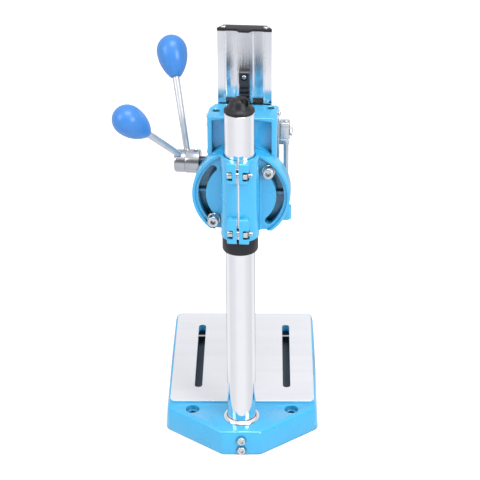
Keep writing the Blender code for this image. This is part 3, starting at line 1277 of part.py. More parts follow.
def make_collar(feed):
    """The collar for the drill's 43 mm neck: split at the front, with a foot on the slide and an arm."""
    foot = block((-FOOT_HALF_WIDTH, FOOT_FACE_Y, COLLAR_BOTTOM), (FOOT_HALF_WIDTH, FOOT_BACK_Y, FOOT_TOP))
    collar = round_edges(add("drill_collar", foot, PAINT, feed), FOOT_EDGE)
    centre = Vector((0, COLLAR_Y, COLLAR_BOTTOM))
    join(collar, rod(COLLAR_RADIUS, centre, centre + Z_AXIS * COLLAR_HEIGHT, ROUND_STEPS))
    web_y = FOOT_FACE_Y + FOOT_THICKNESS / 2
    half = COLLAR_WEB_HALF_WIDTH
    join(collar, block((-half, COLLAR_Y + COLLAR_BORE_RADIUS / 2, COLLAR_BOTTOM), (half, web_y, COLLAR_TOP)))
    lug_back = COLLAR_Y - COLLAR_BORE_RADIUS - COLLAR_WALL / 2
    half = COLLAR_LUG_HALF_WIDTH
    low, high = COLLAR_BOTTOM + COLLAR_LUG_INSET, COLLAR_TOP - COLLAR_LUG_INSET
    join(collar, block((-half, COLLAR_LUG_Y, low), (half, lug_back, high)))
    arm_inner = -(SLIDE_HALF_WIDTH + 2 * GAP)
    arm_back = DEPTH_ROD_Y + ROD_BOSS_RADIUS
    arm_top = ARM_BOTTOM + ARM_HEIGHT
    join(collar, block((DEPTH_ROD_X, FOOT_FACE_Y + GAP, ARM_BOTTOM), (arm_inner, arm_back, arm_top)))
    corner = (DEPTH_ROD_X, FOOT_FACE_Y + 2 * GAP, ARM_BOTTOM + GAP)
    join(collar, block(corner, (0, FOOT_BACK_Y - GAP, arm_top - GAP)))
    boss = Vector((DEPTH_ROD_X, DEPTH_ROD_Y, ARM_BOTTOM))
    join(collar, rod(ROD_BOSS_RADIUS, boss, boss + Z_AXIS * ROD_BOSS_HEIGHT, 2 * SMALL_STEPS))
    over = centre + Z_AXIS * (COLLAR_HEIGHT + OVERRUN)
    cut(collar, rod(COLLAR_BORE_RADIUS, centre - Z_AXIS * OVERRUN, over, ROUND_STEPS))
    cut(
        collar,
        block(
            (-COLLAR_SPLIT, COLLAR_LUG_Y - OVERRUN, COLLAR_BOTTOM - OVERRUN),
            (COLLAR_SPLIT, COLLAR_Y, COLLAR_TOP + OVERRUN),
        ),
    )
    hole_bottom = boss + Z_AXIS * (GAP + ROD_SCREW_RADIUS)
    over = boss + Z_AXIS * (ROD_BOSS_HEIGHT + OVERRUN)
    cut(collar, rod(DEPTH_ROD_RADIUS + GAP, hole_bottom, over, 2 * SMALL_STEPS))
    make_collar_screws(collar, feed)
    make_depth_rod(collar, feed, hole_bottom)


def make_collar_screws(collar, feed):
    """The screw across the collar's split and the two that hold the collar to the slide."""
    middle = COLLAR_BOTTOM + COLLAR_HEIGHT / 2
    far = COLLAR_LUG_HALF_WIDTH + OVERRUN
    hole = rod(COLLAR_SCREW_RADIUS + GAP, (-far, COLLAR_SCREW_Y, middle), (far, COLLAR_SCREW_Y, middle))
    cut(collar, hole)
    seat = COLLAR_LUG_HALF_WIDTH + GAP
    place = along((seat, COLLAR_SCREW_Y, middle), X_AXIS)
    length = 2 * seat + COLLAR_SCREW_STUB
    name = "collar_clamp_screw"
    head_radius, head = COLLAR_SCREW_HEAD_RADIUS, COLLAR_SCREW_HEAD
    socket_screw(name, head_radius, head, COLLAR_SCREW_RADIUS, length, ZINC, feed, place)
    for name, height in zip(("upper", "lower"), FOOT_SCREW_HEIGHTS):
        face, back = (0, FOOT_FACE_Y - OVERRUN, height), (0, FOOT_BACK_Y + OVERRUN, height)
        cut(collar, rod(FOOT_SCREW_RADIUS + GAP, face, back))
        place = along((0, FOOT_FACE_Y - GAP, height), -Y_AXIS)
        length = FOOT_THICKNESS + GAP + FOOT_SCREW_GRIP
        screw = "collar_foot_screw_" + name
        head_radius, head = FOOT_SCREW_HEAD_RADIUS, FOOT_SCREW_HEAD
        socket_screw(screw, head_radius, head, FOOT_SCREW_RADIUS, length, ZINC, feed, place)


def make_depth_rod(collar, feed, hole_bottom):
    """The rod that carries the depth stop, fixed in the collar's arm by a small screw."""
    top = Vector((DEPTH_ROD_X, DEPTH_ROD_Y, DEPTH_ROD_TOP))
    mesh = rod(DEPTH_ROD_RADIUS, hole_bottom + Z_AXIS * GAP, top, 2 * SMALL_STEPS)
    add("depth_rod", mesh, CHROME, feed)
    middle = Vector((DEPTH_ROD_X, DEPTH_ROD_Y, ARM_BOTTOM + ROD_BOSS_HEIGHT / 2))
    outward = Y_AXIS
    far = middle + outward * (ROD_BOSS_RADIUS + ROD_SCREW_PROUD)
    cut(collar, rod(ROD_SCREW_RADIUS + GAP, middle, far + outward * OVERRUN))
    mesh = rod(ROD_SCREW_RADIUS, middle + outward * (DEPTH_ROD_RADIUS + GAP), far)
    add("depth_rod_screw", mesh, ZINC, feed)


def make_depth_stop(stop, thumb):
    """The block that is clamped on the depth rod, and its thumb screw."""
    top = BLOCK_BOTTOM + BLOCK_HEIGHT
    middle = DEPTH_ROD_Y
    inner = -(HOUSING_HALF_WIDTH + BLOCK_GAP)
    mesh = block(
        (-BLOCK_OUTER_X, middle - BLOCK_HALF_DEPTH, BLOCK_BOTTOM),
        (inner, middle + BLOCK_HALF_DEPTH, top),
    )
    body = round_edges(add("depth_stop_block", mesh, ZINC, stop), BLOCK_EDGE)
    at = Vector((DEPTH_ROD_X, DEPTH_ROD_Y, 0))
    low, high = at + Z_AXIS * (BLOCK_BOTTOM - OVERRUN), at + Z_AXIS * (top + OVERRUN)
    cut(body, rod(DEPTH_ROD_RADIUS + GAP, low, high, 2 * SMALL_STEPS))
    shank_end = DEPTH_ROD_X - DEPTH_ROD_RADIUS - GAP
    outside = (-BLOCK_OUTER_X - OVERRUN, middle, THUMB_HEIGHT)
    hole = rod(THUMB_SHANK_RADIUS + GAP, (DEPTH_ROD_X, middle, THUMB_HEIGHT), outside)
    cut(body, hole)
    face = -BLOCK_OUTER_X - GAP
    place = along((face, middle, THUMB_HEIGHT), -X_AXIS)
    profile = [
        (0, THUMB_THICKNESS),
        (THUMB_RADIUS * 0.92, THUMB_THICKNESS),
        (THUMB_RADIUS, THUMB_THICKNESS * 0.8),
        (THUMB_RADIUS, THUMB_THICKNESS * 0.2),
        (THUMB_RADIUS * 0.92, 0),
        (THUMB_SHANK_RADIUS, 0),
        (THUMB_SHANK_RADIUS, face - shank_end),
        (0, face - shank_end),
    ]
    turned("thumb_screw", profile, ZINC, thumb, place, steps=2 * SMALL_STEPS)


def main():
    """Builds the stand: base and column, then the head's frames from the column outwards."""
    clear_scene()
    make_base()
    make_column()
    origin = Vector((0, 0, 0))
    height = frame("head_height_axis", None, origin, HEAD_SWIVEL_DEG)
    make_stop_ring(height)
    swivel = frame("head_swivel_axis", height, origin)
    make_clamp(swivel)
    tilt = frame("head_tilt_axis", swivel, Vector((0, TILT_PLANE_Y, TILT_HEIGHT)))
    make_housing(tilt)
    make_housing_fittings(tilt)
    make_tilt_screws(tilt)
    feed = frame("feed_axis", tilt, Vector((0, SLIDE_BACK_Y, SLIDE_BOTTOM)))
    make_slide(feed)
    make_rack(feed)
    make_collar(feed)
    levers = frame("lever_axis", tilt, Vector((0, PINION_Y, PINION_HEIGHT)))
    make_pinion(levers)
    make_hub(levers)
    make_levers(levers)
    stop = frame("depth_stop_axis", feed, Vector((DEPTH_ROD_X, DEPTH_ROD_Y, BLOCK_BOTTOM)))
    thumb = frame("thumb_screw_axis", stop, Vector((DEPTH_ROD_X, DEPTH_ROD_Y, THUMB_HEIGHT)))
    make_depth_stop(stop, thumb)


main()
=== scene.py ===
"""Looks of the bench drill stand: one class for each sub-assembly models its pieces over the frame."""

from __future__ import annotations

import logging
import math
from dataclasses import dataclass
from enum import Enum
from typing import Iterable, Sequence

import bmesh
import bpy
from mathutils import Matrix, Vector


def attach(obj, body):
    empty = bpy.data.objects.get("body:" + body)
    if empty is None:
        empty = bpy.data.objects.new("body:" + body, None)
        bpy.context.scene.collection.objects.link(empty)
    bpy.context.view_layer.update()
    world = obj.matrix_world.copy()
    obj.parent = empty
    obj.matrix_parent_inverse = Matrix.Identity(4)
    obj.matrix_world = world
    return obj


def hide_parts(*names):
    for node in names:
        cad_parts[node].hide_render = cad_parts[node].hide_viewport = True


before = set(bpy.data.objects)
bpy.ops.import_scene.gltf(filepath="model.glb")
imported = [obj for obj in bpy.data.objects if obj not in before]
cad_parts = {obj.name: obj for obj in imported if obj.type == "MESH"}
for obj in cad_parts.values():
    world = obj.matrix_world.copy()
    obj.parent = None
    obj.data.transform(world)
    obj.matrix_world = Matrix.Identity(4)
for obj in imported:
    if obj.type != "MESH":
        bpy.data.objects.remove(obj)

LOG = logging.getLogger("drill_stand")
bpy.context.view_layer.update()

Point2 = tuple[float, float]
Point3 = tuple[float, float, float]
Colour = tuple[float, float, float]

X = Vector((1, 0, 0))
Y = Vector((0, 1, 0))
Z = Vector((0, 0, 1))
# The clearance between two pieces, and how far a cutter reaches past the surface that it cuts.
GAP = 0.0003
BEYOND = 0.004
# Points closer than this are one point, in a new shape and after a Boolean.
SAME_POINT = 0.000004
SLIVER = 0.000002
HEAD_TURN = Matrix.Rotation(math.radians(-4.6), 4, "Z")


class Operation(Enum):
    """How one solid acts on another."""

    JOIN = "UNION"
    CUT = "DIFFERENCE"
    SHARE = "INTERSECT"


def along(point: Sequence[float], direction: Sequence[float]) -> Matrix:
    """Gives a placement at a point with Z along a direction.

    Args:
        point: Where the origin goes, in metres.
        direction: Where Z points; its length doesn't matter.

    Returns:
        The placement.
    """
    turn = Vector(direction).to_track_quat("Z", "Y").to_matrix().to_4x4()
    return Matrix.Translation(Vector(point)) @ turn


def arc(centre: Point2, radius: float, start: float, end: float, steps: int = 10) -> list[Point2]:
    """Lists points along a circular arc.

    Args:
        centre: The arc's centre.
        radius: Its radius.
        start: The first angle, in degrees.
        end: The last angle, in degrees.
        steps: The number of chords.

    Returns:
        The points, both ends included.
    """
    angles = [math.radians(start + (end - start) * i / steps) for i in range(steps + 1)]
    return [(centre[0] + radius * math.cos(a), centre[1] + radius * math.sin(a)) for a in angles]


def rounded(corners: Sequence[Point2], radii: Sequence[float], grow: float = 0.0) -> list[Point2]:
    """Rounds the corners of a convex outline and moves its sides out.

    Args:
        corners: The sharp corners, anticlockwise.
        radii: Each corner's radius before the sides move.
        grow: How far the sides move out.

    Returns:
        The outline.
    """
    points = [Vector(corner) for corner in corners]
    sides = [(points[(i + 1) % len(points)] - points[i]).normalized() for i in range(len(points))]
    outline: list[Point2] = []
    for i, point in enumerate(points):
        before, after = sides[i - 1], sides[i]
        half = abs(before.angle_signed(after)) / 2
        out = (Vector((before.y, -before.x)) + Vector((after.y, -after.x))).normalized()
        centre = point - out * (radii[i] / math.cos(half))
        middle = math.degrees(math.atan2(out.y, out.x))
        spread = math.degrees(half)
        outline += arc((centre.x, centre.y), radii[i] + grow, middle - spread, middle + spread)
    return outline


def rectangle(left: float, back: float, right: float, front: float, radius: float,
              grow: float = 0.0) -> list[Point2]:
    """Gives the outline of a rounded rectangle."""
    return rounded([(left, back), (left, front), (right, front), (right, back)], [radius] * 4, grow)


def both_sides(half: Sequence[Point2]) -> list[Point2]:
    """Closes the right half of an outline with its mirror image."""
    return [*half, *[(-x, y) for x, y in reversed(half)]]


def side_span(side: int, near: float, far: float) -> tuple[float, float]:
    """Gives the lower and higher X of what lies between two distances on one side, -1 or 1."""
    low, high = sorted((side * near, side * far))
    return low, high


def link(name: str, data: bpy.types.ID) -> bpy.types.Object:
    """Puts an object that shows the data into the scene."""
    obj = bpy.data.objects.new(name, data)
    bpy.context.scene.collection.objects.link(obj)
    return obj


class Shape:
    """A closed solid under construction, kept as a bmesh in metres."""

    def __init__(self) -> None:
        """Starts from nothing."""
        self.mesh = bmesh.new()

    def tidy(self) -> Shape:
        """Merges doubled points, turns the faces out and returns the shape."""
        bmesh.ops.remove_doubles(self.mesh, verts=self.mesh.verts, dist=SAME_POINT)
        bmesh.ops.recalc_face_normals(self.mesh, faces=self.mesh.faces)
        return self

    def flat(self) -> Shape:
        """Merges faces that lie in one plane, and returns the shape."""
        bmesh.ops.dissolve_limit(self.mesh, angle_limit=0.0005, verts=self.mesh.verts, edges=self.mesh.edges)
        return self

    @classmethod
    def turned(cls, profile: Sequence[Point2], steps: int = 72, closed: bool = False) -> Shape:
        """Turns a profile about Z.

        Args:
            profile: Points of radius and height.
            steps: The number of facets round the axis.
            closed: Whether the profile closes on itself, as a ring's does.

        Returns:
            The turned solid.
        """
        shape = cls()
        points = [shape.mesh.verts.new((radius, 0, height)) for radius, height in profile]
        pairs = list(zip(points, points[1:])) + ([(points[-1], points[0])] if closed else [])
        edges = [shape.mesh.edges.new(pair) for pair in pairs]
        bmesh.ops.spin(
            shape.mesh, geom=points + edges, cent=(0, 0, 0), axis=(0, 0, 1), dvec=(0, 0, 0),
            angle=math.tau, steps=steps, use_merge=True, use_duplicate=False,
        )
        return shape.tidy().flat()

    @classmethod
    def bar(cls, radius: float, low: float, high: float, edge: float, steps: int) -> Shape:
        """Makes an upright bar on Z with chamfered ends.

        Args:
            radius: Its radius.
            low: The height of its lower end.
            high: The height of its upper end.
            edge: The width of its chamfers.
            steps: The number of facets.

        Returns:
            The bar.
        """
        half = [(0, high), (radius - edge, high), (radius, high - edge)]
        return cls.turned(half + [(radius, low + edge), (radius - edge, low), (0, low)], steps)

    @classmethod
    def sink(cls, mouth: float, bore: float, above: float, below: float, depth: float) -> Shape:
        """Makes the cutter of a round hole in the plane Z = 0 with a flared mouth.

        Args:
            mouth: The mouth's radius.
            bore: The hole's radius.
            above: The height at which the flare begins.
            below: The height at which it ends.
            depth: The hole's depth.

        Returns:
            The cutter.
        """
        flare = [(0, BEYOND), (mouth, BEYOND), (mouth, above), (bore, below)]
        return cls.turned(flare + [(bore, -depth), (0, -depth)], 40)

    @classmethod
    def ball(cls, size: Point3) -> Shape:
        """Makes an ellipsoid about the origin from its three half-widths."""
        shape = cls()
        bmesh.ops.create_uvsphere(shape.mesh, u_segments=36, v_segments=24, radius=1.0)
        return shape.moved(Matrix.Diagonal((*size, 1)))

    @classmethod
    def evaluated(cls, obj: bpy.types.Object) -> Shape:
        """Takes an object's mesh with its modifiers applied."""
        bpy.context.view_layer.update()
        mesh = bpy.data.meshes.new_from_object(obj.evaluated_get(bpy.context.evaluated_depsgraph_get()))
        shape = cls()
        shape.mesh.from_mesh(mesh)
        bpy.data.meshes.remove(mesh)
        return shape

    @classmethod
    def prism(cls, outline: Sequence[Point2], low: float, high: float) -> Shape:
        """Extrudes an outline along Z.

        Args:
            outline: Points of X and Y, in order.
            low: The height of its lower face.
            high: The height of its upper face.

        Returns:
            The solid.
        """
        shape = cls()
        base = shape.mesh.faces.new([shape.mesh.verts.new((x, y, low)) for x, y in outline])
        raised = bmesh.ops.extrude_face_region(shape.mesh, geom=[base])["geom"]
        points = [item for item in raised if isinstance(item, bmesh.types.BMVert)]
        bmesh.ops.translate(shape.mesh, verts=points, vec=(0, 0, high - low))
        return shape.tidy()

    @classmethod
    def box(cls, low: Sequence[float], high: Sequence[float], edge: float = 0.0, steps: int = 3) -> Shape:
        """Makes a block between two corners.

        Args:
            low: The lowest corner.
            high: The highest corner.
            edge: The radius of its rounded edges, or nothing for sharp ones.
            steps: The facets of each rounded edge.

        Returns:
            The block.
        """
        shape = cls()
        low, high = Vector(low), Vector(high)
        size = Matrix.Diagonal((*(high - low), 1))
        bmesh.ops.create_cube(shape.mesh, size=1, matrix=Matrix.Translation((low + high) / 2) @ size)
        return shape.eased(edge, steps) if edge else shape

    @classmethod
    def rod(cls, radius: float, start: Sequence[float], end: Sequence[float], steps: int = 32,
            end_radius: float | None = None) -> Shape:
        """Makes a cylinder or a cone between two points.

        Args:
            radius: The radius at the start.
            start: The centre of the first end.
            end: The centre of the last end.
            steps: The number of facets.
            end_radius: The radius at the end, if it differs.

        Returns:
            The solid.
        """
        shape = cls()
        start, end = Vector(start), Vector(end)
        bmesh.ops.create_cone(
            shape.mesh, cap_ends=True, segments=steps, radius1=radius,
            radius2=radius if end_radius is None else end_radius,
            depth=(end - start).length, matrix=along((start + end) / 2, end - start),
        )
        return shape

    @classmethod
    def loft(cls, sections: Sequence[tuple[Sequence[Point2], float]]) -> Shape:
        """Bridges outlines that lie one above another.

        Args:
            sections: Outlines of equal count with their heights, lowest first.

        Returns:
            The closed solid.
        """
        shape = cls()
        rings = []
        for outline, height in sections:
            ring = [shape.mesh.verts.new((x, y, height)) for x, y in outline]
            rings.append([shape.mesh.edges.new((ring[i - 1], ring[i])) for i in range(len(ring))])
        for lower, upper in zip(rings, rings[1:]):
            bmesh.ops.bridge_loops(shape.mesh, edges=lower + upper)
        for ring in (rings[0], rings[-1]):
            bmesh.ops.contextual_create(shape.mesh, geom=ring)
        return shape.tidy()

    def moved(self, place: Matrix) -> Shape:
        """Applies a placement and returns the shape."""
        bmesh.ops.transform(self.mesh, matrix=place, verts=self.mesh.verts)
        return self

    def shifted(self, x: float, y: float, z: float) -> Shape:
        """Moves the shape and returns it."""
        return self.moved(Matrix.Translation((x, y, z)))

    def eased(self, width: float, steps: int = 2, angle: float = 40.0) -> Shape:
        """Rounds the sharp edges.

        Args:
            width: The rounding's width.
            steps: Its facets.
            angle: The least angle between two faces that counts as sharp, in degrees.

        Returns:
            The shape itself.
        """
        limit = math.radians(angle)
        edges = [e for e in self.mesh.edges if len(e.link_faces) == 2 and e.calc_face_angle(0) > limit]
        bmesh.ops.bevel(
            self.mesh, geom=edges, offset=width, offset_type="OFFSET", segments=steps, profile=0.5,
            affect="EDGES", material=-1, clamp_overlap=True,
        )
        return self

    def with_all(self, operation: Operation, shapes: Iterable[Shape]) -> Shape:
        """Joins, cuts or intersects this solid with others.

        Args:
            operation: What to do.
            shapes: The other solids, which are used up.

        Returns:
            The shape itself, holding the result.
        """
        target = self.temporary()
        helpers = []
        for shape in shapes:
            helper = shape.temporary()
            helpers.append(helper)
            boolean = target.modifiers.new("combine", "BOOLEAN")
            boolean.operation = operation.value
            boolean.solver = "EXACT"
            boolean.object = helper
        self.mesh = Shape.evaluated(target).mesh
        for obj in [target, *helpers]:
            mesh = obj.data
            bpy.data.objects.remove(obj)
            bpy.data.meshes.remove(mesh)
        bmesh.ops.remove_doubles(self.mesh, verts=self.mesh.verts, dist=SLIVER)
        bmesh.ops.dissolve_degenerate(self.mesh, edges=self.mesh.edges, dist=SLIVER)
        bmesh.ops.holes_fill(self.mesh, edges=[e for e in self.mesh.edges if e.is_boundary], sides=4)
        return self

    def join(self, *shapes: Shape) -> Shape:
        """Joins other solids to this one."""
        return self.with_all(Operation.JOIN, shapes)

    def cut(self, *shapes: Shape) -> Shape:
        """Cuts other solids out of this one."""
        return self.with_all(Operation.CUT, shapes)

    def share(self, shape: Shape) -> Shape:
        """Keeps only what this solid shares with another."""
        return self.with_all(Operation.SHARE, [shape])

    def beside(self, *shapes: Shape) -> Shape:
        """Puts other meshes into this one without a Boolean."""
        for shape in shapes:
            carrier = bpy.data.meshes.new("carrier")
            shape.mesh.to_mesh(carrier)
            self.mesh.from_mesh(carrier)
            bpy.data.meshes.remove(carrier)
        return self

    def temporary(self) -> bpy.types.Object:
        """Turns the bmesh into a short-lived object."""
        mesh = bpy.data.meshes.new("temporary")
        self.mesh.to_mesh(mesh)
        self.mesh.free()
        return link("temporary", mesh)


class Value:
    """A node socket that takes part in Python expressions."""

    def __init__(self, graph: Graph, socket: bpy.types.NodeSocket) -> None:
        """Wraps a socket of a graph."""
        self.graph = graph
        self.socket = socket

    def math(self, operation: str, first: Value | float, second: Value | float = 0.0) -> Value:
        """Adds a Math node and gives its result."""
        return self.graph.node("ShaderNodeMath", {"operation": operation}, {0: first, 1: second})

    def __add__(self, other: Value | float) -> Value:
        """Adds."""
        return self.math("ADD", self, other)

    __radd__ = __add__

    def __mul__(self, other: Value | float) -> Value:
        """Multiplies."""
        return self.math("MULTIPLY", self, other)

    __rmul__ = __mul__

    def __sub__(self, other: Value | float) -> Value:
        """Takes away."""
        return self.math("SUBTRACT", self, other)

    def __rsub__(self, other: Value | float) -> Value:
        """Is taken away from a number."""
        return self.math("SUBTRACT", other, self)

    def __gt__(self, other: Value | float) -> Value:
        """Is 1 where the value is greater, and 0 elsewhere."""
        return self.math("GREATER_THAN", self, other)

    def __lt__(self, other: Value | float) -> Value:
        """Is 1 where the value is less, and 0 elsewhere."""
        return self.math("LESS_THAN", self, other)


class Graph:
    """The node tree of one material or world."""

    def __init__(self, tree: bpy.types.NodeTree) -> None:
        """Takes a tree over and empties it."""
        self.tree = tree
        tree.nodes.clear()

    def node(self, kind: str, settings: dict | None = None, inputs: dict | None = None,
             output: int | str = 0) -> Value:
        """Adds a node.

        Args:
            kind: The node's type.
            settings: Its properties, with a ramp's stops under "stops".
            inputs: Values or links of its sockets, by name or number.
            output: Which output is wanted.

        Returns:
            That output.
        """
        node = self.tree.nodes.new(kind)
        for key, value in (settings or {}).items():
            if key == "stops":
                for element, (place, shade) in zip(self.stops(node.color_ramp, len(value)), value):
                    element.position, element.color = place, (*shade, 1)
            else:
                setattr(node, key, value)
        for key, value in (inputs or {}).items():
            if isinstance(value, Value):
                self.tree.links.new(value.socket, node.inputs[key])
            else:
                node.inputs[key].default_value = value
        return Value(self, node.outputs[output]) if node.outputs else Value(self, None)

    @staticmethod
    def stops(ramp: bpy.types.ColorRamp, count: int) -> list[bpy.types.ColorRampElement]:
        """Gives a ramp that many stops and lists them."""
        while len(ramp.elements) < count:
            ramp.elements.new(1.0)
        return list(ramp.elements)

    def coordinates(self, scale: Point3 = (1, 1, 1)) -> Value:
        """Gives Object coordinates, stretched by a scale along each axis."""
        place = self.node("ShaderNodeTexCoord", output="Object")
        return self.node("ShaderNodeMapping", {}, {"Vector": place, "Scale": scale})

    def noise(self, size: float, stretch: Point3 = (1, 1, 1), detail: float = 3.0) -> Value:
        """Gives noise of a size in metres.

        Args:
            size: The width of its spots.
            stretch: The frequency along each axis, as a share.
            detail: The noise's detail.

        Returns:
            A value about 0.5.
        """
        where = self.coordinates(stretch)
        inputs = {"Vector": where, "Scale": 1 / size, "Detail": detail, "Roughness": 0.55}
        return self.node("ShaderNodeTexNoise", {"noise_dimensions": "3D"}, inputs)

    def axis(self, place: Value, name: str) -> Value:
        """Gives one axis, X, Y or Z, of a place."""
        return self.node("ShaderNodeSeparateXYZ", {}, {0: place}, name)

    def ray(self, kind: str) -> Value:
        """Is 1 for rays of one of Light Path's kinds."""
        return self.node("ShaderNodeLightPath", output=kind)

    def between(self, value: Value, low: float, high: float, most: float = 1.0) -> Value:
        """Rises from 0 to most while a value goes from low to high."""
        limits = {"Value": value, "From Min": low, "From Max": high, "To Max": most}
        return self.node("ShaderNodeMapRange", {"clamp": True}, limits, "Result")

    def greys(self, stops: Sequence[Point2], where: Value) -> Value:
        """Gives faintly cool greys from a list of places and brightnesses."""
        shades = [(place, (level * 0.985, level * 0.99, min(1.0, level * 1.03))) for place, level in stops]
        return self.node("ShaderNodeValToRGB", {"stops": shades}, {0: where})

    def mix(self, share: Value | float, first: Colour | Value, second: Colour | Value) -> Value:
        """Mixes two colours."""
        shades = [(*shade, 1) if isinstance(shade, tuple) else shade for shade in (first, second)]
        inputs = {0: share, 6: shades[0], 7: shades[1]}
        return self.node("ShaderNodeMix", {"data_type": "RGBA"}, inputs, 2)

    def bump(self, height: Value, distance: float, strength: float = 1.0,
             normal: Value | None = None) -> Value:
        """Gives a normal bent by a height.

        Args:
            height: The height, from 0 to 1.
            distance: What a height of 1 stands for, in metres.
            strength: The bump's strength.
            normal: A normal to start from.

        Returns:
            The normal.
        """
        inputs = {"Height": height, "Distance": distance, "Strength": strength}
        if normal:
            inputs["Normal"] = normal
        return self.node("ShaderNodeBump", {}, inputs)

    def hollow(self, distance: float) -> Value:
        """Gives 0 in the open and up to 1 deep in pockets narrower than a distance, from ambient occlusion;
        it masks painted shade.
        """
        open_sky = self.node("ShaderNodeAmbientOcclusion", {"samples": 6}, {"Distance": distance}, "AO")
        return self.between(open_sky, 0.50, 0.15)

    def surface(self, inputs: dict) -> None:
        """Ends the tree in a Principled shader with these sockets."""
        shader = self.node("ShaderNodeBsdfPrincipled", {}, inputs)
        self.node("ShaderNodeOutputMaterial", {}, {"Surface": shader})


@dataclass(frozen=True)
class Finish:
    """A surface finish with the record's material slot that it belongs to."""

    name: str
    slot: str
    colour: Colour
    roughness: float = 0.3

    def shade(self, graph: Graph) -> None:
        """Builds the finish's nodes; each kind of finish has its own."""
        raise NotImplementedError

    def material(self) -> bpy.types.Material:
        """Gives the finish's material, made once."""
        known = bpy.data.materials.get(self.name)
        if known:
            return known
        material = bpy.data.materials.new(self.name)
        material.use_nodes = True
        material.diffuse_color = (*self.colour, 1)
        self.shade(Graph(material.node_tree))
        return material

    def darker(self, share: float) -> Colour:
        """Gives the colour at a share of its strength."""
        return tuple(channel * share for channel in self.colour)


@dataclass(frozen=True)
class Paint(Finish):
    """Thick glossy paint over a sand or die casting."""

    edge: float = 0.0007
    grain: float = 0.004

    def shade(self, graph: Graph) -> None:
        """Lays slight colour drift, painted shade in pockets, orange peel and softened edges."""
        drift = graph.noise(0.05, detail=2)
        speck = graph.noise(0.0007, detail=1)
        tone = graph.mix(drift, self.darker(0.94), tuple(min(1.0, c * 1.05) for c in self.colour))
        tone = graph.mix((speck > 0.70) * 0.12, tone, self.darker(0.7))
        # Painted shade: the colour goes nearly black deep in slots and pockets, where shade falls.
        tone = graph.mix(graph.hollow(0.016), tone, self.darker(0.03))
        soft = graph.node("ShaderNodeBevel", {"samples": 4}, {"Radius": self.edge})
        peel = graph.bump(graph.noise(self.grain, detail=2), 0.00006, 0.5, soft)
        peel = graph.bump(graph.noise(0.0009, detail=1), 0.000012, 0.5, peel)
        graph.surface({
            "Base Color": tone, "Roughness": self.roughness + (drift - 0.5) * 0.12,
            "Coat Weight": 1.0, "Coat Roughness": 0.05, "Normal": peel,
        })


@dataclass(frozen=True)
class Plated(Finish):
    """Polished or plated steel, with fine lines along or round the piece and a faint tint."""

    lines: Point3 = (1, 1, 0.02)
    depth: float = 0.000004
    tint: Colour = (0.80, 0.82, 0.86)
    pocket_shade_reach: float = 0.0
    streak: float = 0.5
    metal: float = 1.0

    def shade(self, graph: Graph) -> None:
        """Lays fine polishing lines, cloudy tint, smears in the gloss and, where a reach is given, painted
        shade in pockets.
        """
        cloud = graph.noise(0.02, detail=3)
        line = graph.noise(0.0006, self.lines, 4)
        smear = graph.noise(0.012, (1, 1, 0.3), 4)
        tone = graph.mix(cloud, self.colour, self.tint)
        tone = graph.mix((line - 0.5) * 0.25 + 0.1, tone, self.darker(0.8))
        # Painted shade: the colour darkens in pockets narrower than the given reach.
        if self.pocket_shade_reach:
            tone = graph.mix(graph.hollow(self.pocket_shade_reach), tone, self.darker(0.05))
        rough = self.roughness + (smear - 0.5) * (self.roughness * 0.7)
        rough = rough + (line - 0.5) * (self.roughness * self.streak)
        graph.surface({
            "Base Color": tone, "Metallic": self.metal, "Roughness": rough,
            "Normal": graph.bump(line, self.depth),
        })


@dataclass(frozen=True)
class Milled(Finish):
    """Bare aluminium with cutter marks, drawn lines and faint dull patches."""

    lines: Point3 = (0.03, 1, 1)
    pitch: float = 0.0012
    metal: float = 1.0
    grain: float = 0.0
    dull_above: float = 0.0
    dull_over: float = 0.035
    dulled: float = 0.2

    def shade(self, graph: Graph) -> None:
        """Lays lines of two widths over a cloudy tone, duller above a height where one is given."""
        fine = graph.noise(self.pitch / 2, self.lines, 3)
        broad = graph.noise(self.pitch * 6, self.lines, 2)
        cloud = graph.noise(0.03, detail=3)
        tone = graph.mix(broad * 0.7 + fine * 0.3, self.darker(0.86), self.colour)
        tone = graph.mix((cloud > 0.62) * 0.1, tone, self.darker(0.8))
        rough = self.roughness + (fine - 0.5) * 0.2 + (cloud - 0.5) * 0.12
        if self.dull_above:
            height, low = graph.axis(graph.coordinates(), "Z"), self.dull_above
            rough = rough + graph.between(height, low, low + self.dull_over, self.dulled)
        graph.surface({
            "Base Color": tone, "Metallic": self.metal, "Roughness": rough, "Anisotropic": self.grain,
            "Anisotropic Rotation": 0.25, "Normal": graph.bump(fine, 0.00001, 0.8),
        })


@dataclass(frozen=True)
class Moulded(Finish):
    """Moulded plastic with a fine grain and slight scuffs."""

    grain: float = 0.0006
    depth: float = 0.00002
    coat: float = 0.0

    def shade(self, graph: Graph) -> None:
        """Lays moulding grain, flow marks and scuffs."""
        pores = graph.noise(self.grain, detail=2)
        flow = graph.noise(0.018, (1, 1, 0.4), 2)
        scuff = graph.noise(0.006, (0.3, 1, 1), 5)
        tone = graph.mix(flow, self.darker(0.93), tuple(min(1.0, c * 1.07) for c in self.colour))
        tone = graph.mix((scuff > 0.66) * 0.06, tone, (0.5, 0.52, 0.55))
        rough = self.roughness + (flow - 0.5) * 0.1 + (scuff > 0.66) * 0.08
        graph.surface({
            "Base Color": tone, "Roughness": rough, "Coat Weight": self.coat, "Coat Roughness": 0.25,
            "Specular IOR Level": 0.4,
            "Normal": graph.bump(pores, self.depth, 0.6),
        })


@dataclass(frozen=True)
class Blackened(Finish):
    """Blackened steel with an oily, patchy sheen."""

    def shade(self, graph: Graph) -> None:
        """Lays oil patches and fine grinding lines."""
        oil = graph.noise(0.004, detail=4)
        line = graph.noise(0.0005, (0.05, 1, 1), 2)
        tone = graph.mix(oil, self.darker(0.7), tuple(c * 1.6 for c in self.colour))
        graph.surface({
            "Base Color": tone, "Metallic": 0.75, "Roughness": self.roughness + (oil - 0.5) * 0.25,
            "Normal": graph.bump(line, 0.000008, 0.8),
        })


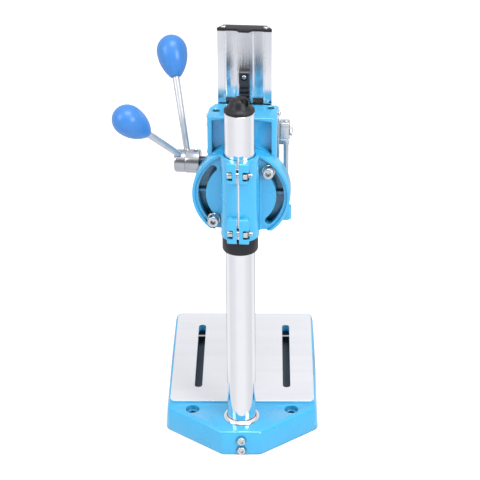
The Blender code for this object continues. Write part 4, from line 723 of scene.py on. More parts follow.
PAINT = Paint("sky_blue_paint", "blue_paint", (0.032, 0.42, 0.76), 0.28)
CHROME = Plated("polished_chrome", "chromed_steel", (0.96, 0.965, 0.975), 0.07,
                tint=(0.92, 0.93, 0.96))
# The ring's finish paints shade into its pockets.
RING_PLATE = Plated("ring_chrome", "chromed_steel", (0.95, 0.955, 0.965), 0.10,
                    tint=(0.90, 0.91, 0.94), pocket_shade_reach=0.007)
ROD_PLATE = Plated("bright_zinc_rod", "chromed_steel", (0.52, 0.54, 0.57), 0.36, depth=0.000001,
                   streak=0.2, metal=0.9)
# The bright zinc finish paints shade into its pockets.
ZINC = Plated("bright_zinc", "zinc_plated_steel", (0.76, 0.77, 0.76), 0.26, (1, 1, 1), 0.00001,
              (0.66, 0.70, 0.74), 0.004)
TURNED_ZINC = Plated("turned_zinc", "zinc_plated_steel", (0.60, 0.61, 0.64), 0.20, (1, 0.05, 0.05),
                     0.000008, (0.46, 0.49, 0.54))
TABLE_FACE = Milled("milled_table", "blue_paint", (0.88, 0.885, 0.92), 0.38, (0.02, 1, 1), 0.0016, 0.45)
DRAWN = Milled("drawn_aluminium", "milled_aluminium", (0.93, 0.935, 0.96), 0.13, (1, 1, 0.008), 0.0012,
               grain=0.8, dull_above=0.456)
SCALE_FACE = Milled("scale_aluminium", "milled_aluminium", (0.78, 0.79, 0.80), 0.34, (1, 1, 0.02), 0.0008)
BLACK = Moulded("dark_plastic", "black_plastic", (0.011, 0.0112, 0.014), 0.42)
LINER = Moulded("liner_plastic", "black_plastic", (0.012, 0.012, 0.014), 0.36, 0.001)
KNOB_BLUE = Moulded("blue_knob_plastic", "knob_plastic", (0.043, 0.215, 0.60), 0.32, 0.0009, 0.00003, 0.25)
BLACK_STEEL = Blackened("blackened_steel", "blackened_steel", (0.10, 0.105, 0.12), 0.40)
INK = Moulded("scale_ink", "black_plastic", (0.012, 0.012, 0.014), 0.55, 0.0003, 0.000005)
BRONZE = Plated("bearing_bronze", "bearing_bronze", (0.55, 0.36, 0.14), 0.32, (0.05, 1, 1), 0.000008,
                (0.46, 0.28, 0.10))


def dress(name: str, shape: Shape, finish: Finish, body: str, nodes: Sequence[str] = (),
          head: bool = True, sharp: float = 32.0) -> bpy.types.Object:
    """Puts a finished piece into the scene.

    Args:
        name: The piece's name.
        shape: Its solid, in the head's straight frame or the stand's own.
        finish: Its finish.
        body: The body that it rides on.
        nodes: The frame's nodes that it stands for.
        head: Whether it is given in the head's straight frame.
        sharp: Edges over this angle, in degrees, stay sharp.

    Returns:
        The new object.
    """
    if head:
        shape.moved(HEAD_TURN)
    mesh = bpy.data.meshes.new(name)
    shape.mesh.to_mesh(mesh)
    shape.mesh.free()
    mesh.materials.append(finish.material())
    mesh.shade_smooth()
    mesh.set_sharp_from_angle(angle=math.radians(sharp))
    obj = link(name, mesh)
    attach(obj, body)
    if nodes:
        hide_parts(*nodes)
    LOG.info("%s rides on %s and stands for %s", name, body, ", ".join(nodes) or "no node")
    return obj


def carry(finish: Finish, *nodes: str) -> None:
    """Gives nodes of the frame that keep their shape a detailed finish.

    Args:
        finish: The finish.
        nodes: The nodes' names.
    """
    for node in nodes:
        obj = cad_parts[node]
        obj.data.materials.clear()
        obj.data.materials.append(finish.material())
        LOG.info("%s keeps its solid with %s", node, finish.name)


class Drive(Enum):
    """What a screw's head is turned with."""

    SOCKET = 6
    CROSS = 4


DOME = ((0, 1), (0.45, 0.94), (0.75, 0.76), (0.94, 0.42), (1, 0.12), (1, 0))
UPPER_LOWER = ("upper", "lower")


@dataclass
class Screw:
    """A screw whose head stands on Z = 0, with a visible thread on its far end where it has one."""

    head_radius: float
    head: float
    radius: float
    length: float
    drive: Drive = Drive.SOCKET
    thread: float = 0.0
    pitch: float = 0.001

    def shank(self) -> list[Point2]:
        """Gives the shank's profile from the head down, with ridges over the threaded length."""
        tip, root = -self.length, self.radius - self.pitch * 0.5
        points: list[Point2] = [(self.radius, 0), (self.radius, tip + self.thread)]
        for i in range(int(self.thread / self.pitch)):
            top = tip + self.thread - i * self.pitch
            points += [(self.radius, top), (root, top - self.pitch * 0.45)]
        return points + [(root, tip + self.radius * 0.05), (root * 0.8, tip), (0, tip)]

    def shape(self) -> Shape:
        """Builds the screw: a cylinder head with a socket, or a domed head with a cross."""
        r, h = self.head_radius, self.head
        over = h + BEYOND
        if self.drive is Drive.SOCKET:
            profile = [(0, h), (r * 0.86, h), (r * 0.95, h - r * 0.05), (r, h - r * 0.14), (r, r * 0.04),
                       (r * 0.96, 0)]
            socket = Shape.rod(r * 0.55, (0, 0, h * 0.45), (0, 0, over), self.drive.value)
            cutters = [socket.join(Shape.rod(r * 0.62, (0, 0, h * 0.97), (0, 0, over), 24))]
        else:
            profile = [(r * across, h * up) for across, up in DOME]
            arm, half, deep = r * 0.62, r * 0.13, h * 0.35
            cutters = [Shape.box((-x, -y, deep), (x, y, over)) for x, y in ((arm, half), (half, arm))]
        return Shape.turned(profile + self.shank(), 40).cut(*cutters)

    def fit(self, name: str, node: str, at: Sequence[float], way: Sequence[float], body: str,
            finish: Finish = ZINC, head: bool = True) -> None:
        """Builds the screw where it sits and dresses it.

        Args:
            name: The piece's name.
            node: The frame's node that it stands for.
            at: The middle of its head's seat.
            way: The way that its head points.
            body: The body that it rides on.
            finish: Its finish.
            head: Whether it is given in the head's straight frame.
        """
        dress(name, self.shape().moved(along(at, way)), finish, body, [node], head=head)


@dataclass
class Base:
    """The cast base with its milled table, and the screws in its nose."""

    half_width: float = 0.093
    nose_half: float = 0.02285
    nose_y: float = 0.0362
    shoulder_y: float = -0.019
    front_y: float = -0.247
    top: float = 0.032
    draft: float = 0.0024
    edge: float = 0.0034
    edge_steps: int = 4
    foot_edge: float = 0.0016
    foot_gap: float = 0.0015
    corner: float = 0.010
    nose_corner: float = 0.009
    wall: float = 0.007
    roof: float = 0.025
    roof_corner: float = 0.003
    rib_half: float = 0.0025
    nose_rib_half: float = 0.013
    socket_boss: float = 0.0265
    socket_floor: float = 0.004
    column_bore: float = 0.0178
    table: tuple[float, float, float, float] = (-0.090, -0.0303, 0.090, -0.2444)
    table_corner: float = 0.007
    rise: float = 0.002
    slot_x: float = 0.056
    slot_half: float = 0.0048
    slot_ends: tuple[float, float] = (-0.0612, -0.2149)
    bench_hole: Point2 = (0.0615, -0.015)
    bench_boss: float = 0.0125
    bench_bore: float = 0.00425
    screw_heights: tuple[float, float] = (0.021, 0.0075)
    screw_bore: float = 0.0033
    screw_face: float = 0.0062

    def outline(self, grow: float, nose_corner: float) -> list[Point2]:
        """Gives the plan of the base, moved out by grow, with its nose's corner radius."""
        wide = self.half_width
        half = [(wide, self.front_y), (wide, self.shoulder_y), (self.nose_half, self.nose_y)]
        corners = [(-x, y) for x, y in reversed(half)] + half
        return rounded(corners, [nose_corner] + [self.corner] * 4 + [nose_corner], grow)

    def slots(self, low: float, high: float) -> list[Shape]:
        """Gives the two table slots as solids between two heights."""
        back, front = self.slot_ends
        plans = [rectangle(x - self.slot_half, back, x + self.slot_half, front, self.slot_half * 0.92)
                 for x in (-self.slot_x, self.slot_x)]
        return [Shape.prism(plan, low, high) for plan in plans]

    def on_table(self, levels: Sequence[Point2]) -> Shape:
        """Lofts the table's plan through levels, each a growth and a height over the base's top."""
        return Shape.loft([(rectangle(*self.table, self.table_corner, grow), self.top + up)
                           for grow, up in levels])

    def shell(self) -> Shape:
        """Models the drafted walls with their rounded foot and rim, open below."""
        levels = [(self.draft - self.foot_edge, 0.0),
                  (self.draft - self.foot_edge * 0.3, self.foot_edge * 0.3),
                  (self.draft * (1 - self.foot_edge / self.top), self.foot_edge)]
        for step in range(self.edge_steps + 1):
            angle = math.pi / 2 * step / self.edge_steps
            height = self.top - self.edge + self.edge * math.sin(angle)
            levels.append((self.draft * (1 - height / self.top) - self.edge * (1 - math.cos(angle)), height))
        soft, roof = self.roof_corner, self.roof
        inside = [(self.draft, -BEYOND), (0, roof - soft), (-soft * 0.3, roof - soft * 0.3), (-soft, roof)]
        body = Shape.loft([(self.outline(grow, self.nose_corner), height) for grow, height in levels])
        return body.cut(Shape.loft([(self.outline(grow - self.wall, self.corner), height)
                                    for grow, height in inside]))

    def casting(self) -> Shape:
        """Models the whole casting with its ribs, bosses, slots and holes."""
        inside, (x, y) = self.roof + 0.003, self.bench_hole
        half = self.wall / 2
        body = self.shell().join(
            Shape.rod(self.socket_boss, (0, 0, 0), (0, 0, inside), 64),
            Shape.box((-self.nose_rib_half, 0, 0), (self.nose_rib_half, self.nose_y - half, inside)),
            Shape.box((-self.rib_half, self.front_y + half, self.foot_gap), (self.rib_half, 0, inside)),
            Shape.rod(self.bench_boss, (x, y, 0), (x, y, inside), 40),
            Shape.rod(self.bench_boss, (-x, y, 0), (-x, y, inside), 40),
            self.on_table([(0.0022, -0.001), (0.0018, self.rise * 0.72), (0.0005, self.rise * 0.8)]),
        )
        over, edge_x = self.top + BEYOND, self.half_width - 2 * self.corner
        cutters = [Shape.rod(self.column_bore, (0, 0, self.socket_floor), (0, 0, over), 72)]
        for side in (-1, 1):
            cutters.append(Shape.rod(self.bench_bore, (side * x, y, -BEYOND), (side * x, y, over), 32))
            cutters.append(Shape.sink(0.0105, 0.0085, 0.0006, -0.0006, 0.006).shifted(side * x, y, self.top))
        for height in self.screw_heights:
            face = self.nose_y + self.draft * (1 - height / self.top) - 0.0006
            cutters.append(Shape.rod(self.screw_bore, (0, 0, height), (0, self.nose_y + BEYOND, height), 24))
            cutters.append(Shape.rod(self.screw_face, (0, face, height), (0, self.nose_y + 0.02, height), 32))
        cutters.append(Shape.box((-edge_x, self.front_y - BEYOND * 2, -BEYOND),
                                 (edge_x, self.front_y + self.wall + BEYOND, self.foot_gap)))
        return body.cut(*cutters, *self.slots(self.roof - BEYOND, self.top + 2 * BEYOND))

    def pad(self) -> Shape:
        """Models the raised milled face with its slots and crisp chamfer."""
        rise = self.rise
        raised = self.on_table([(rise, -rise * 0.4), (rise * 0.35, rise * 0.55), (rise * 0.12, rise * 0.9),
                                (0, rise)])
        return raised.cut(*self.slots(self.top - BEYOND, self.top + BEYOND))

    def build(self) -> None:
        """Builds and dresses the base's pieces."""
        dress("base_body", self.casting(), PAINT, "stand", ["base_casting"], head=False)
        dress("work_table_face", self.pad(), TABLE_FACE, "stand", ["base_casting"], head=False)
        face = self.nose_y + self.draft + GAP
        for name, height in zip(UPPER_LOWER, self.screw_heights):
            Screw(0.005, 0.003, 0.003, face - self.column_bore).fit(
                "nose_screw_" + name, "base_screw_" + name, (0, face, height), Y, "stand", head=False)


@dataclass
class Column:
    """The chromed column with the rosette at its foot, its plastic cap, and the stop ring under the clamp."""

    radius: float = 0.0175
    wall: float = 0.0025
    foot: float = 0.0043
    top: float = 0.441
    chamfer: float = 0.0005
    seat: float = 0.0323
    rosette_width: float = 0.0044
    cap_rim: float = 0.003
    cap_plug: float = 0.018
    cap_turn: float = 50.0
    dome: tuple[Point2, ...] = (
        (0, 0.0134), (0.0060, 0.0133), (0.0084, 0.0126), (0.0099, 0.0110), (0.0110, 0.0080), (0.0122, 0.0046),
        (0.0139, 0.0022), (0.0158, 0.0008), (0.0172, 0.0002), (0.0176, -0.0008),
    )
    hollow_size: Point3 = (0.0050, 0.0042, 0.0112)
    hollow_at: Point2 = (0.0084, 0.0128)
    ring_top: float = 0.2862
    ring_height: float = 0.0188
    ring_radius: float = 0.021
    ring_screw: float = 0.0024
    ring_screw_turn: float = 205.0

    def tube(self) -> Shape:
        """Models the tube with small chamfers at both ends."""
        inner, outer, c = self.radius - self.wall, self.radius, self.chamfer
        top, foot = self.top, self.foot
        profile = [(inner + c, top), (outer - c, top), (outer, top - c), (outer, foot + c), (outer - c, foot),
                   (inner, foot), (inner, top - c)]
        return Shape.turned(profile, 128, closed=True)

    def rosette(self) -> Shape:
        """Models the pressed ring that covers the gap round the column's foot."""
        bore = self.radius + GAP
        outer = bore + self.rosette_width
        profile = [(bore, 0.0026), (bore + 0.0004, 0.003), (bore + 0.0012, 0.0029), (outer - 0.0012, 0.0017),
                   (outer - 0.0003, 0.0009), (outer, 0.0003), (outer, 0), (bore, 0)]
        return Shape.turned([(radius, self.seat + up) for radius, up in profile], 96, closed=True)

    def cap(self) -> Shape:
        """Models the cap: a rim and a steep dome, with a finger hollow on each side of the fin across it."""
        seat = self.top + GAP
        rim, end = seat + self.cap_rim, seat - self.cap_plug
        edge, inner = self.dome[-1][0], self.radius - self.wall - GAP
        profile = [(radius, rim + up) for radius, up in self.dome]
        profile += [(edge, seat + 0.0004), (edge - 0.0004, seat), (inner, seat), (inner, end + 0.001),
                    (inner - 0.001, end), (0, end)]
        out, up = self.hollow_at
        hollows = [Shape.ball(self.hollow_size).shifted(0, side * out, rim + up) for side in (-1, 1)]
        cap = Shape.turned(profile, 96).cut(*hollows)
        return cap.moved(Matrix.Rotation(math.radians(self.cap_turn), 4, "Z"))

    def ring(self) -> Shape:
        """Models the stop ring with soft edges."""
        high, low = self.ring_top, self.ring_top - self.ring_height
        outer, bore = self.ring_radius, self.radius + GAP
        profile = [(bore + 0.0004, high), (outer - 0.0009, high), (outer - 0.0002, high - 0.0004),
                   (outer, high - 0.0012), (outer, low + 0.0015), (outer - 0.0004, low + 0.0005),
                   (outer - 0.0014, low), (bore + 0.0004, low), (bore, low + 0.0004), (bore, high - 0.0004)]
        return Shape.turned(profile, 96, closed=True)

    def build(self) -> None:
        """Builds and dresses the column's pieces and the stop ring with its screw."""
        dress("chrome_column", self.tube(), CHROME, "stand", ["column_tube"], head=False)
        dress("foot_rosette", self.rosette(), RING_PLATE, "stand", ["foot_ring"], head=False)
        dress("column_end_cap", self.cap(), BLACK, "stand", ["column_cap"], head=False)
        turn = math.radians(self.ring_screw_turn)
        outward = Vector((math.cos(turn), math.sin(turn), 0))
        centre = Z * (self.ring_top - self.ring_screw * 1.6)
        far, flat = self.ring_radius + 0.002, 0.0008
        hole = Shape.rod(0.0027, centre + outward * self.radius, centre + outward * (far + BEYOND), 24)
        dress("height_stop_ring", self.ring().cut(hole), BLACK, "stop_ring", ["stop_ring"])
        Screw(self.ring_screw, flat, self.ring_screw, far - self.radius - GAP - flat).fit(
            "height_stop_screw", "stop_ring_screw", centre + outward * (far - flat), outward, "stop_ring")


def facing_back(height: float, y: float) -> Matrix:
    """Gives a placement on the tilt axis whose Z runs to +Y and whose Y runs up."""
    turn = Matrix(((-1, 0, 0, 0), (0, 0, 1, 0), (0, 1, 0, 0), (0, 0, 0, 1)))
    return Matrix.Translation((0, y, height)) @ turn


@dataclass
class Clamp:
    """The split clamp with its tilt plate, and the bolts across the split."""

    bore: float = 0.0178
    sleeve: float = 0.022
    bottom: float = 0.2865
    top: float = 0.3885
    chamfer: float = 0.0006
    axis_height: float = 0.3304
    plane_y: float = -0.022
    plate: float = 0.012
    rim: float = 0.0035
    rim_edge: float = 0.0004
    recess: float = 0.003
    radius: float = 0.057038
    web_half: float = 0.0242
    track: float = 0.045538
    track_half: float = 0.0045
    track_span: float = 45.0
    split_half: float = 0.0013
    ear_half: float = 0.013
    ear_y: float = 0.028
    upper_ear: float = 0.3628
    lower_ear: float = 0.318
    pocket_x: float = 0.0059
    pocket_half: float = 0.0055
    bolt_y: float = 0.0233
    bolt_head: float = 0.0048
    bolt_bore: float = 0.0033
    bolt_heights: tuple[float, float] = (0.373, 0.2987)

    def track_plan(self, side: int) -> list[Point2]:
        """Gives one arc slot's outline in the plate's plane."""
        r, w, span = self.track, self.track_half, self.track_span
        low, high = (arc((0, 0), r, end, end, 1)[0] for end in (-span, span))
        plan = arc((0, 0), r + w, -span, span, 40) + arc(high, w, span, span + 180, 16)[1:-1]
        plan += arc((0, 0), r - w, span, -span, 40) + arc(low, w, 180 - span, 360 - span, 16)[1:-1]
        return [(side * x, y) for x, y in plan][::side]

    def tilt_points(self) -> list[tuple[str, float, float]]:
        """Lists the two screws in the arc slots: their names, X and heights."""
        offset = self.track * math.sqrt(0.5)
        return [("left", -offset, self.axis_height + offset), ("right", offset, self.axis_height - offset)]

    def flange(self) -> Shape:
        """Models the tilt plate with its raised rim."""
        r, e, top = self.radius, self.rim_edge, self.plate
        face, rim = top - self.recess, r - self.rim
        profile = [(0, face), (rim - e, face), (rim, face + e), (rim, top - e), (rim + e, top),
                   (r - 2 * e, top), (r - 0.6 * e, top - 0.6 * e), (r, top - 2 * e), (r, 0), (0, 0)]
        return Shape.turned(profile, 144).moved(facing_back(self.axis_height, self.plane_y))

    def web(self) -> Shape:
        """Models the wide root between sleeve and plate, with its concave flanks."""
        face = self.plane_y + self.plate - self.recess + 2 * GAP
        wide, fillet, root = self.web_half, self.web_half - self.sleeve, self.plane_y + 0.001
        plan = [(-wide, root), (wide, root), *arc((wide, face + fillet), fillet, 270, 180, 8),
                *arc((-wide, face + fillet), fillet, 0, -90, 8)]
        disc = Shape.rod(self.radius - self.rim / 2, (0, self.plane_y, self.axis_height),
                         (0, self.sleeve, self.axis_height), 96)
        return Shape.prism(plan, self.bottom - BEYOND, self.top - 0.001).share(disc)

    def body(self) -> Shape:
        """Models the whole casting."""
        low, c, r, skirt = self.bottom - BEYOND, self.chamfer, self.sleeve, self.sleeve + 0.0003
        sleeve = Shape.turned([(0, self.top), (r - c, self.top), (r, self.top - c), (r, self.bottom + 0.004),
                               (skirt, self.bottom + 0.003), (skirt, low), (0, low)], 128)
        ear, back = self.ear_half, self.bore / 2
        ears = [Shape.box((-ear, back, bottom), (ear, self.ear_y, top), 0.0018, 4)
                for bottom, top in ((self.upper_ear, self.top), (self.bottom, self.lower_ear))]
        body = sleeve.join(self.flange(), self.web(), *ears)
        wide, over, outside = self.radius + BEYOND, self.ear_y + BEYOND, self.ear_half + BEYOND
        cutters = [
            Shape.box((-wide, -wide, 0), (wide, wide, self.bottom)),
            Shape.turned([(0, self.top + c), (self.bore + 2 * c, self.top + c), (self.bore, self.top - c),
                          (self.bore, low - BEYOND), (0, low - BEYOND)], 128),
            Shape.box((-self.split_half, 0, low - BEYOND), (self.split_half, over, self.top + BEYOND)),
        ]
        at_plate = facing_back(self.axis_height, self.plane_y)
        cutters += [Shape.prism(self.track_plan(side), -BEYOND, self.plate + BEYOND).moved(at_plate)
                    for side in (-1, 1)]
        floor, half = self.bolt_y - self.bolt_head - GAP, self.pocket_half
        for height in self.bolt_heights:
            cutters += [Shape.box((left, floor, height - half), (right, over, height + half), 0.0006, 2)
                        for left, right in (side_span(side, self.pocket_x, outside) for side in (1, -1))]
            cutters.append(Shape.rod(self.bolt_bore, (-outside, self.bolt_y, height),
                                     (outside, self.bolt_y, height), 24))
        return body.cut(*cutters)

    def build(self) -> None:
        """Builds and dresses the clamp, its bolts and its nuts."""
        dress("clamp_casting", self.body(), PAINT, "clamp", ["column_clamp"])
        seat = self.pocket_x + GAP
        for name, height in zip(UPPER_LOWER, self.bolt_heights):
            Screw(self.bolt_head, 0.006, 0.003, 2 * seat + 0.0105, thread=0.0072).fit(
                "split_bolt_" + name, "clamp_bolt_" + name, (seat, self.bolt_y, height), X, "clamp")
            place = along((-seat, self.bolt_y, height), -X)
            dress("split_nut_" + name, self.nut().moved(place), ZINC, "clamp", ["clamp_nut_" + name])

    def nut(self) -> Shape:
        """Models a hexagon nut with chamfered corners, standing on Z = 0."""
        high, flat, corner = 0.005, 0.0047, 0.0056
        profile = [(0, high), (flat, high), (corner, 0.0044), (corner, 0.0006), (flat, 0), (0, 0)]
        hexagon, lens = Shape.rod(0.0055, (0, 0, 0), (0, 0, high), 6), Shape.turned(profile, 48)
        return hexagon.share(lens).cut(Shape.rod(self.bolt_bore, (0, 0, -BEYOND), (0, 0, 2 * high), 24))


@dataclass
class Housing:
    """The cast housing that the slide runs in, with its fittings and the screws that lock the tilt."""

    clamp: Clamp
    half_width: float = 0.0402
    back_y: float = -0.0245
    recess_y: float = -0.034
    recess_half: float = 0.0345
    recess_arch: float = 0.003
    front_y: float = -0.0758
    bottom: float = 0.2875
    top: float = 0.423
    corner: float = 0.005
    edge: float = 0.0015
    step_y: float = -0.0625
    step_drop: float = 0.010
    step_corners: tuple[Point2, Point2] = ((0.0067, 0.0150), (0.0032, 0.0030))
    slide_back: float = -0.0648
    slide_front: float = -0.0773
    track_depth: float = 0.006
    rib_x: float = 0.0092
    flange_x: float = 0.0217
    slide_half: float = 0.0312
    slide_front_half: float = 0.0247
    strip_bottom: float = 0.372
    pinion_y: float = -0.04845
    pinion_height: float = 0.3549
    cavity: float = 0.01285
    cavity_end: float = 0.0071
    bush_seat: float = 0.0096
    bush_end: float = 0.0219
    tooth_way: Point2 = (0.0066, -0.0568)
    ring_pocket: Point2 = (0.0385, 0.0525)
    pocket_depth: float = 0.0047
    rib_depth: float = 0.0094
    tilt_boss: float = 0.0077
    tilt_bore: Point2 = (0.0042, 0.0136)
    ear_x: float = 0.031
    ear_ys: tuple[float, float] = (-0.0437, -0.0560)
    ear_screw_drop: float = 0.007
    gib_heights: tuple[float, float] = (0.395, 0.3605)
    gib_y: float = -0.0667
    gib_bore: Point2 = (0.0031, 0.0324)
    rod_at: Point2 = (-0.0483, -0.066)
    lug: tuple[float, float] = (0.2938, 0.300)
    lug_x: float = -0.052
    lug_half: float = 0.0065
    notch: float = 0.0036
    scale_ys: Point2 = (-0.056, -0.045)
    scale_heights: Point2 = (0.350, 0.4095)
    scale_marks: int = 57

    def channel(self) -> list[Point2]:
        """Gives the dovetail channel's plan."""
        shoulder = self.slide_back - 0.002
        slope = (self.slide_half - self.slide_front_half) / (shoulder - self.slide_front)
        wide = self.slide_half + GAP * 1.2
        front = self.front_y - BEYOND
        narrow = wide - slope * (shoulder - front)
        return both_sides([(wide, self.slide_back + GAP), (wide, shoulder), (narrow, front)])

    def disc(self) -> Shape:
        """Models the round plate that faces the clamp's, with the stem that joins it to the body."""
        back, r, h, c = self.clamp.plane_y - GAP, self.clamp.radius, self.clamp.axis_height, 0.0006
        depth, low = back - self.recess_y, self.clamp.bottom
        profile = [(0, 0), (r - c, 0), (r, -c), (r, -depth), (0, -depth)]
        wide, inset = r + BEYOND, self.corner
        disc = Shape.turned(profile, 144).moved(facing_back(h, back))
        stem = Shape.box((-self.half_width + inset, self.back_y - inset, self.bottom + inset),
                         (self.half_width - inset, self.back_y + GAP * 2, 2 * h - low))
        return disc.cut(Shape.box((-wide, -wide, 0), (wide, wide, low))).join(stem)

    def recess(self) -> Shape:
        """Models the hollow in the back wall above the disc, with its arched top."""
        half, rise, arch = self.recess_half, self.top - self.clamp.axis_height, self.recess_arch
        radius = (half ** 2 + arch ** 2) / (2 * arch)
        spread = math.degrees(math.asin(half / radius))
        crown = arc((0, rise - 0.0015 - radius), radius, 90 - spread, 90 + spread, 24)
        hollow = Shape.prism([(-half, 0), (half, 0)] + crown, self.recess_y, self.back_y + BEYOND)
        disc = Shape.rod(self.clamp.radius + 0.0013, (0, 0, -0.05), (0, 0, BEYOND), 144)
        return hollow.cut(disc).eased(0.0009, 3).moved(facing_back(self.clamp.axis_height, 0))

    def step(self) -> list[Point2]:
        """Gives the plan of what the top loses in front of the ears."""
        far, front = self.half_width + BEYOND, self.front_y - BEYOND
        plan = [(far, front)]
        for side, (inset, setback) in zip((1, -1), self.step_corners):
            corner = [(side * far, self.step_y + setback * (1 + BEYOND / inset)),
                      (side * (self.half_width - inset), self.step_y)]
            plan += corner[::side]
        return plan + [(-far, front)]

    def pocket(self) -> Shape:
        """Models the space behind the arc slots, with the ribs and bosses left standing in it."""
        back, h, wide = self.clamp.plane_y - GAP, self.clamp.axis_height, self.clamp.radius
        (near, far), depth, floor = self.ring_pocket, self.pocket_depth, back - self.rib_depth
        ring = Shape.turned([(far, BEYOND), (far, -depth), (near, -depth), (near, BEYOND)], 96, closed=True)
        keep = [Shape.box((-wide, floor, h - 0.0015), (wide, BEYOND, h + 0.0015)),
                Shape.box((-wide, -wide, 0), (wide, wide, self.clamp.bottom + 0.0035))]
        keep += [Shape.rod(self.tilt_boss, (x, floor, z), (x, BEYOND, z), 32)
                 for _, x, z in self.clamp.tilt_points()]
        return ring.moved(facing_back(h, back)).cut(*keep)

    def body(self) -> Shape:
        """Models the whole casting."""
        plan = rectangle(-self.half_width, self.back_y + GAP, self.half_width, self.front_y, self.corner)
        rod_x, rod_y = self.rod_at
        lug = Shape.box((self.lug_x, rod_y - self.lug_half, self.lug[0]),
                        (-self.half_width + self.corner, rod_y + self.lug_half, self.lug[1]), 0.0012, 3)
        body = Shape.prism(plan, self.bottom, self.top).eased(self.edge, 3).join(self.disc(), lug)
        axis = Vector((0, self.pinion_y, self.pinion_height))
        far, low, high = self.half_width + BEYOND, self.bottom - BEYOND, self.top + BEYOND
        tooth_half, tooth_y = self.tooth_way
        cutters = [
            self.recess(),
            self.pocket(),
            Shape.prism(self.channel(), low, high),
            Shape.prism(self.step(), self.top - self.step_drop, high).eased(0.0008, 2, 25),
            Shape.box((-tooth_half, self.slide_back, low), (tooth_half, tooth_y, high)),
            Shape.rod(self.cavity, axis - X * self.cavity_end, axis + X * far, 64),
            Shape.rod(self.bush_seat, axis - X * self.bush_end, axis, 48),
            Shape.box((self.lug_x - BEYOND, rod_y - self.notch, self.lug[0] - 0.002),
                      (rod_x + self.notch, rod_y + self.notch, self.lug[1] + BEYOND)),
        ]
        bore, depth = self.tilt_bore
        cutters += [Shape.rod(bore, (x, self.clamp.plane_y - depth, z), (x, 0, z), 32)
                    for _, x, z in self.clamp.tilt_points()]
        bore, inner = self.gib_bore
        cutters += [Shape.rod(bore, (inner, self.gib_y, height), (far, self.gib_y, height), 24)
                    for height in self.gib_heights]
        height = self.top - self.ear_screw_drop
        for side, y in zip((1, -1), self.ear_ys):
            hole = Shape.sink(0.0058, 0.0044, 0.0004, -0.0010, 0.012)
            cutters.append(hole.shifted(side * self.ear_x, y, self.top))
            inner = side * (self.half_width - 0.0123)
            cutters.append(Shape.rod(0.0019, (inner, y, height), (side * far, y, height), 24))
        return body.cut(*cutters)

    def build(self) -> None:
        """Builds and dresses the housing's pieces."""
        dress("slide_housing_casting", self.body(), PAINT, "housing", ["slide_housing"])
        for name, side in (("left", -1), ("right", 1)):
            low, high = side_span(side, self.rib_x + 0.0005, self.flange_x - 0.0005)
            strip = Shape.box((low, self.slide_back - self.track_depth + GAP, self.strip_bottom),
                              (high, self.slide_back, self.top + 0.003), 0.0004, 2)
            dress("slide_strip_" + name, strip, LINER, "housing", ["slide_liner_" + name])
        for name, height in zip(UPPER_LOWER, self.gib_heights):
            Screw(0.0028, 0.0012, 0.0028, 0.0113, thread=0.010, pitch=0.0008).fit(
                "gib_stud_" + name, "gib_screw_" + name, (self.half_width + 0.0038, self.gib_y, height), X,
                "housing")
        for name, side, y in zip(("right", "left"), (1, -1), self.ear_ys):
            face = (side * (self.half_width + GAP), y, self.top - self.ear_screw_drop)
            Screw(0.003, 0.0024, 0.0016, 0.012, Drive.CROSS).fit(
                "ear_pan_screw_" + name, "ear_screw_" + name, face, X * side, "housing")
        self.tilt_screws()
        self.scale()
        carry(BRONZE, "shaft_bush_left", "shaft_bush_right")

    def tilt_screws(self) -> None:
        """Builds and dresses the two screws in the arc slots with their washers."""
        thick, bore, outer, c = 0.0016, 0.0042, 0.0077, 0.0003
        washer_y = self.clamp.plane_y + self.clamp.plate - self.clamp.recess + GAP
        head_y = washer_y + thick + GAP
        for name, x, z in self.clamp.tilt_points():
            Screw(0.0065, 0.008, 0.0039, head_y - self.clamp.plane_y + 0.013).fit(
                "tilt_lock_screw_" + name, "tilt_screw_" + name, (x, head_y, z), Y, "housing")
            washer = Shape.turned([(bore, thick), (outer - c, thick), (outer, thick - c), (outer, c),
                                   (outer - c, 0), (bore, 0)], 48, closed=True)
            dress("tilt_lock_washer_" + name, washer.moved(along((x, washer_y, z), Y)), ZINC, "housing",
                  ["tilt_washer_" + name])

    def scale(self) -> None:
        """Builds and dresses the depth scale: a strip with ticks and plain numbers of centimetres."""
        face = -self.half_width - GAP
        (front, back), (low, high) = self.scale_ys, self.scale_heights
        strip = Shape.box((face - 0.0008, front, low), (face, back, high), 0.0002, 2)
        dress("depth_scale_strip", strip, SCALE_FACE, "housing", ["depth_scale"])
        marks, proud, half = Shape(), face - 0.00083, 0.00009
        for i in range(1, self.scale_marks + 1):
            long = 0.0050 if i % 10 == 0 else 0.0036 if i % 5 == 0 else 0.0024
            z = high - i / 1000
            marks.beside(Shape.box((proud, front + 0.0004, z - half),
                                   (face - 0.0007, front + long, z + half)))
        for number in range(1, self.scale_marks // 10 + 1):
            marks.beside(self.digit(str(number), proud, (front + 0.0080, high - number / 100)))
        dress("depth_scale_marks", marks, INK, "housing")

    @staticmethod
    def digit(text: str, x: float, centre: Point2) -> Shape:
        """Makes a plain number that faces -X.

        Args:
            text: The number.
            x: The plane of its face.
            centre: Its middle in Y and Z.

        Returns:
            The number as a thin solid.
        """
        letters = bpy.data.curves.new("digit", "FONT")
        letters.body, letters.size, letters.extrude = text, 0.0038, 0.00005
        letters.align_x, letters.align_y = "CENTER", "CENTER"
        obj = link("digit", letters)
        shape = Shape.evaluated(obj)
        bpy.data.objects.remove(obj)
        bpy.data.curves.remove(letters)
        turn = ((0, 0, -1, x + 0.00005), (-1, 0, 0, centre[0]), (0, 1, 0, centre[1]), (0, 0, 0, 1))
        return shape.moved(Matrix(turn))


